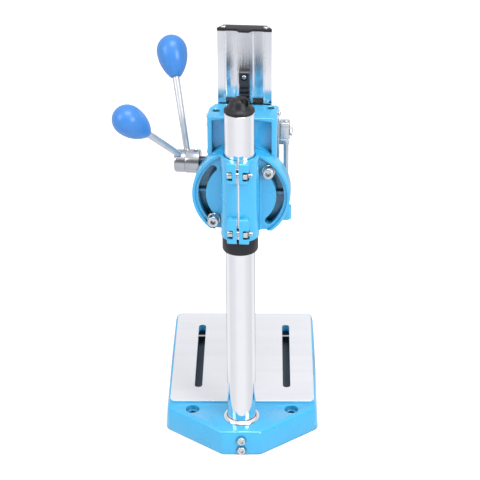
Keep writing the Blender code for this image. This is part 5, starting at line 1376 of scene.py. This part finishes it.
@dataclass
class Carriage:
    """The drawn slide with its end cap, the rack, the drill collar and the depth rod."""

    housing: Housing
    bottom: float = 0.277
    top: float = 0.5119
    groove_half: float = 0.0063
    groove_y: float = -0.0668
    chamber: tuple[float, float, float, float] = (0.010, 0.0195, -0.0757, -0.0725)
    track_lines: tuple[float, float, float] = (0.0079, 0.0233, 0.0112)
    rack_half: float = 0.006
    rack_tip: float = -0.0574
    rack_back: float = -0.0665
    rack_ends: tuple[float, float] = (0.334, 0.4697)
    rack_plain: tuple[float, float] = (0.0115, 0.0205)
    rack_trim: float = 0.0045
    rack_seat: float = 0.0025
    module: float = 0.00175
    pressure_angle: float = 20.0
    collar_bore: float = 0.0215
    collar_wall: float = 0.008
    collar_y: float = -0.1135
    collar_bottom: float = 0.2765
    collar_height: float = 0.030
    collar_edge: float = 0.001
    pinch_y: float = -0.149
    pinch_bore: float = 0.0033
    foot_depth: float = 0.009
    foot_top: float = 0.338
    foot_half: float = 0.031
    foot_screws: tuple[float, float] = (0.3275, 0.3135)
    arm: tuple[float, float] = (0.2757, 0.2862)
    rod_boss: float = 0.007
    rod_radius: float = 0.003
    rod_bore: float = 0.0033
    rod_top: float = 0.4035
    grub_rise: float = 0.0079
    cap_height: float = 0.003
    screw_xs: tuple[float, float] = (-0.0245, 0.0245)
    screw_y: float = -0.0696
    screw_hole: float = 0.0018

    def plan(self, grow: float = 0.0) -> list[Point2]:
        """Gives the slide's section."""
        back, front, half = self.housing.slide_back, self.housing.slide_front, self.housing.slide_half
        return both_sides([(half + grow, back + grow), (half + grow, back - 0.002),
                           (self.housing.slide_front_half + grow, front - grow)])

    def extrusion(self) -> Shape:
        """Models the drawn slide with its rack groove, fine drawn lines and hollow chambers."""
        back, low, high = self.housing.slide_back, self.bottom - BEYOND, self.top + BEYOND
        floor = back - self.housing.track_depth
        half = self.groove_half
        cutters = [Shape.box((-half, self.groove_y, low), (half, back + BEYOND, high))]
        near, far, front, rear = self.chamber
        for side in (-1, 1):
            left, right = side_span(side, near, far)
            cutters.append(Shape.box((left, front, low), (right, rear, high), 0.0008, 2))
            left, right = side_span(side, self.housing.rib_x, self.housing.flange_x)
            cutters.append(Shape.box((left, floor, low), (right, back + BEYOND, high), 0.0005, 2))
            cutters += [self.drawn_line(side * x, y, 0.0003)
                        for x, y in zip(self.track_lines, (back, back, floor))]
        cutters += [self.drawn_line(x, self.groove_y, 0.0004) for x in (-0.0036, 0.0, 0.0036)]
        cutters += self.screw_holes(self.top - 0.012, high)
        return Shape.prism(self.plan(), self.bottom, self.top).cut(*cutters)

    def drawn_line(self, x: float, y: float, half: float) -> Shape:
        """Gives the groove of a fine drawn line, that wide to each side and that deep, as a solid."""
        plan = [(x - half, y + 0.0002), (x, y - half), (x + half, y + 0.0002)]
        return Shape.prism(plan, self.bottom - BEYOND, self.top + BEYOND)

    def screw_holes(self, low: float, high: float) -> list[Shape]:
        """Gives the holes of the end cap's screws as solids between two heights."""
        return [Shape.rod(self.screw_hole, (x, self.screw_y, low), (x, self.screw_y, high), 16)
                for x in self.screw_xs]

    def end_cap(self) -> Shape:
        """Models the moulded cap with its nose and screw holes."""
        seat, back, nose_y = self.top + GAP, self.housing.slide_back + GAP, -0.0595
        plan = self.plan(GAP) + [(-0.0092, back), (-0.0055, nose_y), (0.0055, nose_y), (0.0092, back)]
        cap = Shape.prism(plan, seat, seat + self.cap_height).eased(0.0005, 2, 25)
        return cap.cut(*self.screw_holes(seat - BEYOND, seat + BEYOND * 2))

    def rack_plan(self) -> list[Point2]:
        """Gives the rack's side view as height and Y, with teeth between two plain ends."""
        lean = math.tan(math.radians(self.pressure_angle))
        pitch, depth = math.pi * self.module, 2.25 * self.module
        (bottom, top), crest, back = self.rack_ends, self.rack_tip, self.rack_back
        low, high = bottom + self.rack_plain[0], top - self.rack_plain[1]
        half = pitch / 4 - 0.0002
        tip, root, deep = half - self.module * lean, half + (depth - self.module) * lean, crest - depth
        mesh = self.housing.pinion_height
        first, last = math.ceil((low + root - mesh) / pitch), math.floor((high - root - mesh) / pitch)
        points = [(bottom, back), (bottom, crest), (low - pitch / 4, crest),
                  (low - pitch / 4 + depth * lean, deep)]
        for k in range(first, last + 1):
            centre = mesh + k * pitch
            points += [(centre - root, deep), (centre - tip, crest), (centre + tip, crest),
                       (centre + root, deep)]
        top -= self.rack_trim
        return points + [(high + pitch / 4 - depth * lean, deep), (high + pitch / 4, crest),
                         (top - 0.001, crest), (top, crest - 0.001), (top, back)]

    def screw_heights(self) -> tuple[float, float]:
        """Gives the heights of the rack's two screws."""
        return self.rack_ends[1] - self.rack_plain[1] * 0.55, self.rack_ends[0] + self.rack_plain[0] * 0.45

    def rack(self) -> Shape:
        """Models the rack with its teeth, screw seats and a slot across its upper end."""
        turn = Matrix(((0, 0, 1, 0), (0, 1, 0, 0), (1, 0, 0, 0), (0, 0, 0, 1)))
        body = Shape.prism(self.rack_plan(), -self.rack_half, self.rack_half).moved(turn).tidy()
        seat, over = self.rack_tip - self.rack_seat - GAP, self.rack_tip + BEYOND
        slot = self.rack_ends[1] - self.rack_trim - 0.0026
        cutters = [Shape.box((-0.01, self.rack_tip - 0.0005, slot - 0.0009), (0.01, over, slot))]
        for height in self.screw_heights():
            cutters.append(Shape.rod(0.0042, (0, seat, height), (0, over, height), 32))
            cutters.append(Shape.rod(0.0023, (0, self.rack_back - BEYOND, height), (0, 0, height), 24))
        return body.cut(*cutters)

    def collar(self) -> Shape:
        """Models the collar casting: foot, split ring, lugs and the arm for the depth rod."""
        back = self.housing.slide_front - GAP
        face = back - self.foot_depth
        bore, wall, c, y = self.collar_bore, self.collar_wall, self.collar_edge, self.collar_y
        low, high = self.collar_bottom, self.collar_bottom + self.collar_height
        (rod_x, rod_y), (arm_low, arm_top) = self.housing.rod_at, self.arm
        body = Shape.box((-self.foot_half, face, low), (self.foot_half, back, self.foot_top), 0.003, 4).join(
            Shape.bar(bore + wall, low, high, c, 96).shifted(0, y, 0),
            Shape.box((-0.020, y + bore / 2, low + c), (0.020, face + 0.0045, high - c)),
            Shape.box((-0.011, -0.156, low + 0.004), (0.011, y - bore - wall / 2, high - 0.004), 0.0022, 4),
            Shape.box((rod_x, face + GAP, arm_low), (-0.0318, rod_y + 0.007, arm_top)),
            Shape.box((rod_x, face + 2 * GAP, arm_low + GAP), (0, back - GAP, arm_top - GAP)),
            Shape.rod(self.rod_boss, (rod_x, rod_y, arm_low), (rod_x, rod_y, arm_low + 0.0158), 48),
        )
        middle, grub = (low + high) / 2, arm_low + self.grub_rise
        cutters = [
            Shape.turned([(0, high + c), (bore + c, high + c), (bore, high - c * 0.4), (bore, low + c * 0.4),
                          (bore + c, low - c), (0, low - c)], 96).shifted(0, y, 0),
            Shape.box((-0.0015, -0.16, low - BEYOND), (0.0015, y, high + BEYOND)),
            Shape.rod(self.pinch_bore, (-0.015, self.pinch_y, middle), (0.015, self.pinch_y, middle), 24),
            Shape.rod(self.rod_bore, (rod_x, rod_y, arm_low + GAP + 0.0016),
                      (rod_x, rod_y, arm_low + 0.02), 32),
            Shape.rod(0.0019, (rod_x, rod_y, grub), (rod_x, rod_y + 0.0116, grub), 20),
        ]
        cutters += [Shape.rod(0.0028, (0, face - BEYOND, height), (0, back + BEYOND, height), 24)
                    for height in self.foot_screws]
        return body.cut(*cutters)

    def build(self) -> None:
        """Builds and dresses everything that moves with the feed."""
        dress("slide_profile", self.extrusion(), DRAWN, "carriage", ["slide_extrusion"])
        dress("slide_top_cap", self.end_cap(), BLACK, "carriage", ["slide_end_cap"])
        for name, x in zip(("left", "right"), self.screw_xs):
            Screw(0.0031, 0.0016, 0.0015, 0.012, Drive.CROSS).fit(
                "top_cap_screw_" + name, "cap_screw_" + name,
                (x, self.screw_y, self.top + 2 * GAP + self.cap_height), Z, "carriage")
        dress("toothed_rack", self.rack(), BLACK_STEEL, "carriage", ["feed_rack"])
        for name, height in zip(UPPER_LOWER, self.screw_heights()):
            Screw(0.0031, 0.0025, 0.002, 0.0085, Drive.CROSS).fit(
                "rack_fixing_" + name, "rack_screw_" + name, (0, self.rack_tip - self.rack_seat, height), Y,
                "carriage")
        dress("drill_collar_casting", self.collar(), PAINT, "carriage", ["drill_collar"])
        Screw(0.005, 0.006, 0.003, 0.0246, thread=0.008).fit(
            "collar_pinch_screw", "collar_clamp_screw",
            (0.0113, self.pinch_y, self.collar_bottom + self.collar_height / 2), X, "carriage")
        face = self.housing.slide_front - self.foot_depth - 2 * GAP
        for name, height in zip(UPPER_LOWER, self.foot_screws):
            Screw(0.0043, 0.0045, 0.0025, 0.0148).fit(
                "collar_fixing_" + name, "collar_foot_screw_" + name, (0, face, height), -Y, "carriage")
        self.depth_rod()

    def depth_rod(self) -> None:
        """Builds and dresses the rod of the depth stop and its small screw."""
        x, y = self.housing.rod_at
        low = self.arm[0]
        rod = Shape.bar(self.rod_radius, low + 0.0022, self.rod_top, 0.0006, 48)
        dress("depth_stop_rod", rod.shifted(x, y, 0), ROD_PLATE, "carriage", ["depth_rod"])
        Screw(0.0016, 0.0006, 0.0016, self.rod_boss - self.rod_bore).fit(
            "depth_rod_grub", "depth_rod_screw", (x, y + self.rod_boss, low + self.grub_rise), Y, "carriage")


@dataclass
class DepthStop:
    """The zinc block on the depth rod and its knurled thumb screw."""

    housing: Housing
    outer_x: float = 0.0524
    half: float = 0.0065
    low: float = 0.3745
    high: float = 0.402
    rod_bore: float = 0.0033
    thumb_bore: float = 0.0023
    thumb_height: float = 0.391
    thumb_radius: float = 0.0068
    thumb_thick: float = 0.0033
    stem: float = 0.002
    knurls: int = 36
    knurl_depth: float = 0.94

    def block(self) -> Shape:
        """Models the block with a stepped face, the rod's hole and an index line."""
        (x, y), low, high, thumb = self.housing.rod_at, self.low, self.high, self.thumb_height
        front, face, inner = y - self.half, y + self.half, -self.housing.half_width - 0.0005
        left, right, over = -0.06, -0.03, face + BEYOND
        return Shape.box((-self.outer_x, front, low), (inner, face, high), 0.0012, 3).cut(
            Shape.rod(self.rod_bore, (x, y, low - BEYOND), (x, y, high + BEYOND), 40),
            Shape.rod(self.thumb_bore, (x, y, thumb), (-self.outer_x - BEYOND, y, thumb), 24),
            Shape.box((left, face - 0.0012, low + 0.006), (right, over, low + 0.0085), 0.0003, 1),
            Shape.box((left, face - 0.0004, high - 0.0048), (right, over, high - 0.0044)),
        )

    def thumb(self) -> Shape:
        """Models the knurled thumb screw by drawing in every other facet of its rim."""
        length = self.housing.rod_at[0] - 0.003 + self.outer_x
        r, t = self.thumb_radius, self.thumb_thick
        head = [(0, t), (r * 0.55, t), (r * 0.60, t - 0.0003), (r * 0.88, t - 0.0002), (r * 0.96, t - 0.0005),
                (r, t - 0.001), (r, 0.001), (r * 0.95, 0.0003), (r * 0.90, 0)]
        stem = [(self.stem, 0), (self.stem, -length), (0, -length)]
        screw = Shape.turned(head + stem, 2 * self.knurls)
        for vert in screw.mesh.verts:
            facet = round(math.atan2(vert.co.y, vert.co.x) / math.pi * self.knurls)
            if facet % 2 and vert.co.xy.length > r * 0.93:
                vert.co.xy *= self.knurl_depth
        return screw

    def build(self) -> None:
        """Builds and dresses the stop block and its screw."""
        dress("depth_stop_clamp_block", self.block(), ZINC, "depth_stop", ["depth_stop_block"])
        place = along((-self.outer_x - GAP, self.housing.rod_at[1], self.thumb_height), -X)
        dress("knurled_thumb_screw", self.thumb().moved(place), ZINC, "thumb_screw", ["thumb_screw"],
              sharp=20)


@dataclass
class Lever:
    """One feed lever: where it leaves the hub, which way it points and how long it is."""

    name: str
    root_x: float
    lift: float
    splay: float
    reach: float

    def direction(self) -> Vector:
        """Gives the way that the lever points."""
        lift, splay = math.radians(self.lift), math.radians(self.splay)
        return Vector((math.sin(splay), math.cos(lift) * math.cos(splay), math.sin(lift) * math.cos(splay)))

    def seat(self) -> float:
        """Gives how far from the shaft's axis the rod starts."""
        splay = math.radians(self.splay)
        return (0.0095 + 0.0036 * math.sin(splay)) / math.cos(splay)


@dataclass
class Levers:
    """The hub on the pinion's shaft with its two levers."""

    housing: Housing
    radius: float = 0.014
    inner: float = 0.0509
    outer: float = 0.0815
    step_x: float = 0.0682
    step: float = 0.0006
    shaft_bore: Point2 = (0.0053, 0.0123)
    screw_x: float = 0.056
    screw_bore: float = 0.0021
    grub: float = 0.0018
    rod_root: float = 0.0036
    rod_tip: float = 0.0042
    rod_edge: float = 0.0005
    in_knob: float = 0.020
    knob_radius: float = 0.01799
    knob_length: float = 0.0505
    knob_widest: float = 0.62
    knob_taper: float = 2.2
    mouth: float = 0.0066
    bush_wall: float = 0.001
    levers: tuple[Lever, Lever] = (
        Lever("upper", 0.0650, 120, 11.2, 0.1005),
        Lever("rear", 0.0650, 60, 39.6, 0.0685),
    )

    def on_axis(self, x: float) -> Vector:
        """Gives the point of the shaft's axis at an X."""
        return Vector((x, self.housing.pinion_y, self.housing.pinion_height))

    def hub(self) -> Shape:
        """Models the hub with its stepped end, lever holes and set-screw hole."""
        r, rim = self.radius, self.radius - self.step
        inner, outer, step_x = self.inner, self.outer, self.step_x
        profile = [(0, outer), (rim - 0.0032, outer), (rim - 0.0016, outer - 0.0004),
                   (rim - 0.0005, outer - 0.0013), (rim, outer - 0.0028), (rim, step_x + 0.0003),
                   (rim - 0.0004, step_x), (rim - 0.0004, step_x - 0.0004), (r - 0.0002, step_x - 0.0006),
                   (r, step_x - 0.001), (r, inner + 0.001), (r - 0.001, inner), (0, inner)]
        hub = Shape.turned(profile, 96).moved(along(self.on_axis(0), X))
        bore, depth = self.shaft_bore
        cutters = [Shape.rod(bore, self.on_axis(inner - BEYOND), self.on_axis(inner + depth), 48)]
        for lever in self.levers:
            root, way = self.on_axis(lever.root_x), lever.direction()
            floor = root + way * (lever.seat() - GAP)
            cutters.append(Shape.rod(self.rod_root + 2 * GAP, floor, root + way * 3 * r, 40))
        top = self.on_axis(self.screw_x)
        cutters.append(Shape.rod(self.screw_bore, top, top + Z * (r + BEYOND), 32))
        cutters.append(Shape.rod(self.screw_bore, top + Z * (r - 0.0008), top + Z * (r + 0.002), 32, 0.0052))
        return hub.cut(*cutters)

    def knob(self) -> Shape:
        """Models the pear-shaped knob with its flat mouth and bore."""
        widest, full = self.knob_length * self.knob_widest, self.knob_radius
        top = self.knob_length - widest
        profile: list[Point2] = []
        for i in range(17):
            turn = math.pi / 2 * i / 16
            profile.append((full * math.sin(turn), widest + top * math.cos(turn)))
        for i in range(1, 19):
            share = i / 18
            radius = full - (full - self.mouth) * share ** self.knob_taper
            profile.append((radius, widest * (1 - share) + 0.0004 * share ** 9))
        bore = self.rod_tip + GAP
        ferrule, deep, end = bore + GAP + self.bush_wall, 0.0043, self.in_knob + GAP
        profile += [(self.mouth - 0.0004, 0), (ferrule, 0), (ferrule, deep), (bore, deep), (bore, end),
                    (0, end)]
        return Shape.turned(profile, 72)

    def rod(self, lever: Lever) -> Shape:
        """Models a lever's rod, which swells from the hub to the knob and ends inside it."""
        start, length = lever.seat(), lever.reach + self.in_knob
        tip, root, c = self.rod_tip, self.rod_root, self.rod_edge
        profile = [(0, length), (tip - c, length), (tip, length - c), (tip, lever.reach),
                   (root + 0.00035, lever.reach * 0.5), (root, start + c), (root - c, start), (0, start)]
        return Shape.turned(profile, 48)

    def bush(self) -> Shape:
        """Models the dark bush in a knob's mouth."""
        inner, outer = self.rod_tip + GAP, self.rod_tip + GAP + self.bush_wall
        profile = [(inner, 0.004), (outer, 0.004), (outer, 0.0002), (outer - 0.0002, 0), (inner, 0)]
        return Shape.turned(profile, 48, closed=True)

    def build(self) -> None:
        """Builds and dresses the hub, the levers and the knobs."""
        dress("feed_hub", self.hub(), TURNED_ZINC, "levers", ["lever_hub"])
        seat, flat = self.radius - self.grub - 0.0010, 0.0010
        Screw(self.grub, flat, self.grub, seat - self.shaft_bore[0]).fit(
            "feed_hub_grub", "hub_set_screw", self.on_axis(self.screw_x) + Z * seat, Z, "levers", BLACK_STEEL)
        for lever in self.levers:
            root, way, name = self.on_axis(lever.root_x), lever.direction(), lever.name
            place = along(root + way * lever.reach, way)
            dress("feed_lever_" + name, self.rod(lever).moved(along(root, way)), ROD_PLATE, "levers",
                  ["lever_rod_" + name])
            dress("pear_knob_" + name, self.knob().moved(place), KNOB_BLUE, "levers", ["lever_knob_" + name],
                  sharp=50)
            dress("knob_bush_" + name, self.bush().moved(place), BLACK, "levers", ["knob_ferrule_" + name])
        carry(BLACK_STEEL, "pinion_shaft")


@dataclass
class Studio:
    """The camera, the pale floor and the soft lights."""

    camera_at: Point3 = (-0.03378, 1.71467, 1.18907)
    camera_turn: Point3 = (62.0192, 0.4151, -179.0805)
    lens: float = 124.69
    sensor: float = 36.0
    floor_size: float = 12.0
    floor_glow: float = 0.42
    shadow_squares: Point2 = (0.0077, 0.0112)
    shadow_middle_y: float = -0.135
    aim: Point3 = (0, -0.05, 0.25)
    floor_bands: tuple[Point2, ...] = (
        (0.0, 0.80), (0.05, 0.92), (0.085, 0.34), (0.125, 0.90), (0.18, 0.97), (0.27, 0.80), (0.36, 0.84),
        (0.44, 0.95), (0.56, 0.96), (0.66, 0.83), (0.74, 0.78), (0.80, 0.96), (0.875, 0.90), (0.915, 0.36),
        (0.95, 0.92), (1.0, 0.80),
    )
    room_bands: tuple[Point2, ...] = (
        (0.0, 0.80), (0.50, 0.62), (0.56, 0.24), (0.74, 0.20), (0.82, 0.80), (0.88, 1.0), (1.0, 1.0),
    )
    sweep_bands: tuple[Point2, ...] = (
        (0.0, 0.80), (0.50, 0.92), (0.66, 0.84), (0.80, 0.62), (0.88, 1.0), (1.0, 1.0),
    )

    def camera(self) -> None:
        """Places the camera where the photograph was taken from."""
        data = bpy.data.cameras.new("view")
        data.lens, data.sensor_width, data.sensor_fit = self.lens, self.sensor, "HORIZONTAL"
        data.clip_start, data.clip_end = 0.01, 50.0
        obj = link("view", data)
        obj.location = self.camera_at
        obj.rotation_euler = [math.radians(angle) for angle in self.camera_turn]
        bpy.context.scene.camera = obj

    def floor(self) -> None:
        """Lays the pale floor: lifted to white for the camera, painted dark as shadow under the base, and
        banded in what metal mirrors.
        """
        plane = Shape()
        bmesh.ops.create_grid(plane.mesh, x_segments=1, y_segments=1, size=self.floor_size / 2)
        mesh = bpy.data.meshes.new("pale_floor")
        plane.mesh.to_mesh(mesh)
        material = bpy.data.materials.new("pale_floor")
        material.use_nodes = True
        graph = Graph(material.node_tree)
        place = graph.coordinates()
        # The floor under the base, which shows through its slots, is painted dark as the base's shadow and
        # does not glow: a rectangle, by the squares of X and Y.
        x, y = graph.axis(place, "X"), graph.axis(place, "Y") - self.shadow_middle_y
        under_shadow = (x * x < self.shadow_squares[0]) * (y * y < self.shadow_squares[1])
        tone = graph.mix(graph.noise(0.8, detail=1), (0.80, 0.80, 0.81), (0.83, 0.83, 0.835))
        glow = graph.mix(graph.ray("Is Camera Ray") * (1.0 - under_shadow), (0, 0, 0), (1, 1, 1))
        lit = graph.node("ShaderNodeBsdfPrincipled", {}, {
            "Base Color": graph.mix(under_shadow, tone, (0.20, 0.24, 0.30)), "Roughness": 0.7,
            "Specular IOR Level": 0.2, "Emission Color": glow, "Emission Strength": self.floor_glow,
        })
        around = graph.node("ShaderNodeMapping", {}, {"Vector": place, "Rotation": (0, 0, -math.pi / 2)})
        angle = graph.node("ShaderNodeTexGradient", {"gradient_type": "RADIAL"}, {0: around}, "Fac")
        # In what metal mirrors, the floor under the base is painted dark as shadow too.
        bands = graph.mix(under_shadow, graph.greys(self.floor_bands, angle), (0.05, 0.05, 0.06))
        mirrored = graph.node("ShaderNodeEmission", {}, {"Color": bands})
        shader = graph.node("ShaderNodeMixShader", {}, {0: graph.ray("Is Glossy Ray"), 1: lit, 2: mirrored})
        graph.node("ShaderNodeOutputMaterial", {}, {"Surface": shader})
        mesh.materials.append(material)
        link("pale_floor", mesh)

    def world(self) -> None:
        """Lights the room evenly; metal mirrors white behind the stand and a darker room in front of it."""
        world = bpy.data.worlds.new("studio")
        world.use_nodes = True
        bpy.context.scene.world = world
        graph = Graph(world.node_tree)
        way = graph.node("ShaderNodeTexCoord", output="Generated")
        height, toward = graph.axis(way, "Z") * 0.5 + 0.5, graph.axis(way, "Y") * 2.5 + 0.4
        sweep, room = graph.greys(self.sweep_bands, height), graph.greys(self.room_bands, height)
        mirrored = graph.mix(toward, sweep, room)
        shade = graph.mix(graph.ray("Is Glossy Ray"), (0.66, 0.66, 0.67), mirrored)
        shade = graph.mix(graph.ray("Is Camera Ray"), shade, (1.0, 1.0, 1.0))
        background = graph.node("ShaderNodeBackground", {}, {"Color": shade, "Strength": 1.0})
        graph.node("ShaderNodeOutputWorld", {}, {"Surface": background})

    def lamp(self, name: str, at: Point3, size: float, power: float) -> None:
        """Hangs a square soft lamp that points at the stand's middle.

        Args:
            name: The lamp's name.
            at: Its place.
            size: Its side.
            power: Its power in watts.
        """
        data = bpy.data.lights.new(name, "AREA")
        data.size, data.energy = size, power
        obj = link(name, data)
        obj.location = at
        obj.rotation_euler = (Vector(self.aim) - Vector(at)).to_track_quat("-Z", "Y").to_euler()

    def build(self) -> None:
        """Sets up the studio."""
        self.camera()
        self.floor()
        self.world()
        self.lamp("key_lamp", (-1.5, 1.5, 1.3), 1.0, 25)
        self.lamp("fill_lamp", (1.7, 0.9, 1.4), 1.0, 14)
        self.lamp("top_lamp", (-0.2, 0.45, 2.3), 1.2, 24)
        bpy.context.scene.view_settings.view_transform = "Standard"


def main() -> None:
    """Builds the studio and then the stand, from the base up."""
    logging.basicConfig(level=logging.INFO, format="%(message)s")
    Studio().build()
    Base().build()
    Column().build()
    clamp = Clamp()
    clamp.build()
    housing = Housing(clamp)
    housing.build()
    Carriage(housing).build()
    DepthStop(housing).build()
    Levers(housing).build()
    bpy.context.view_layer.update()


if __name__ == "__main__":
    main()
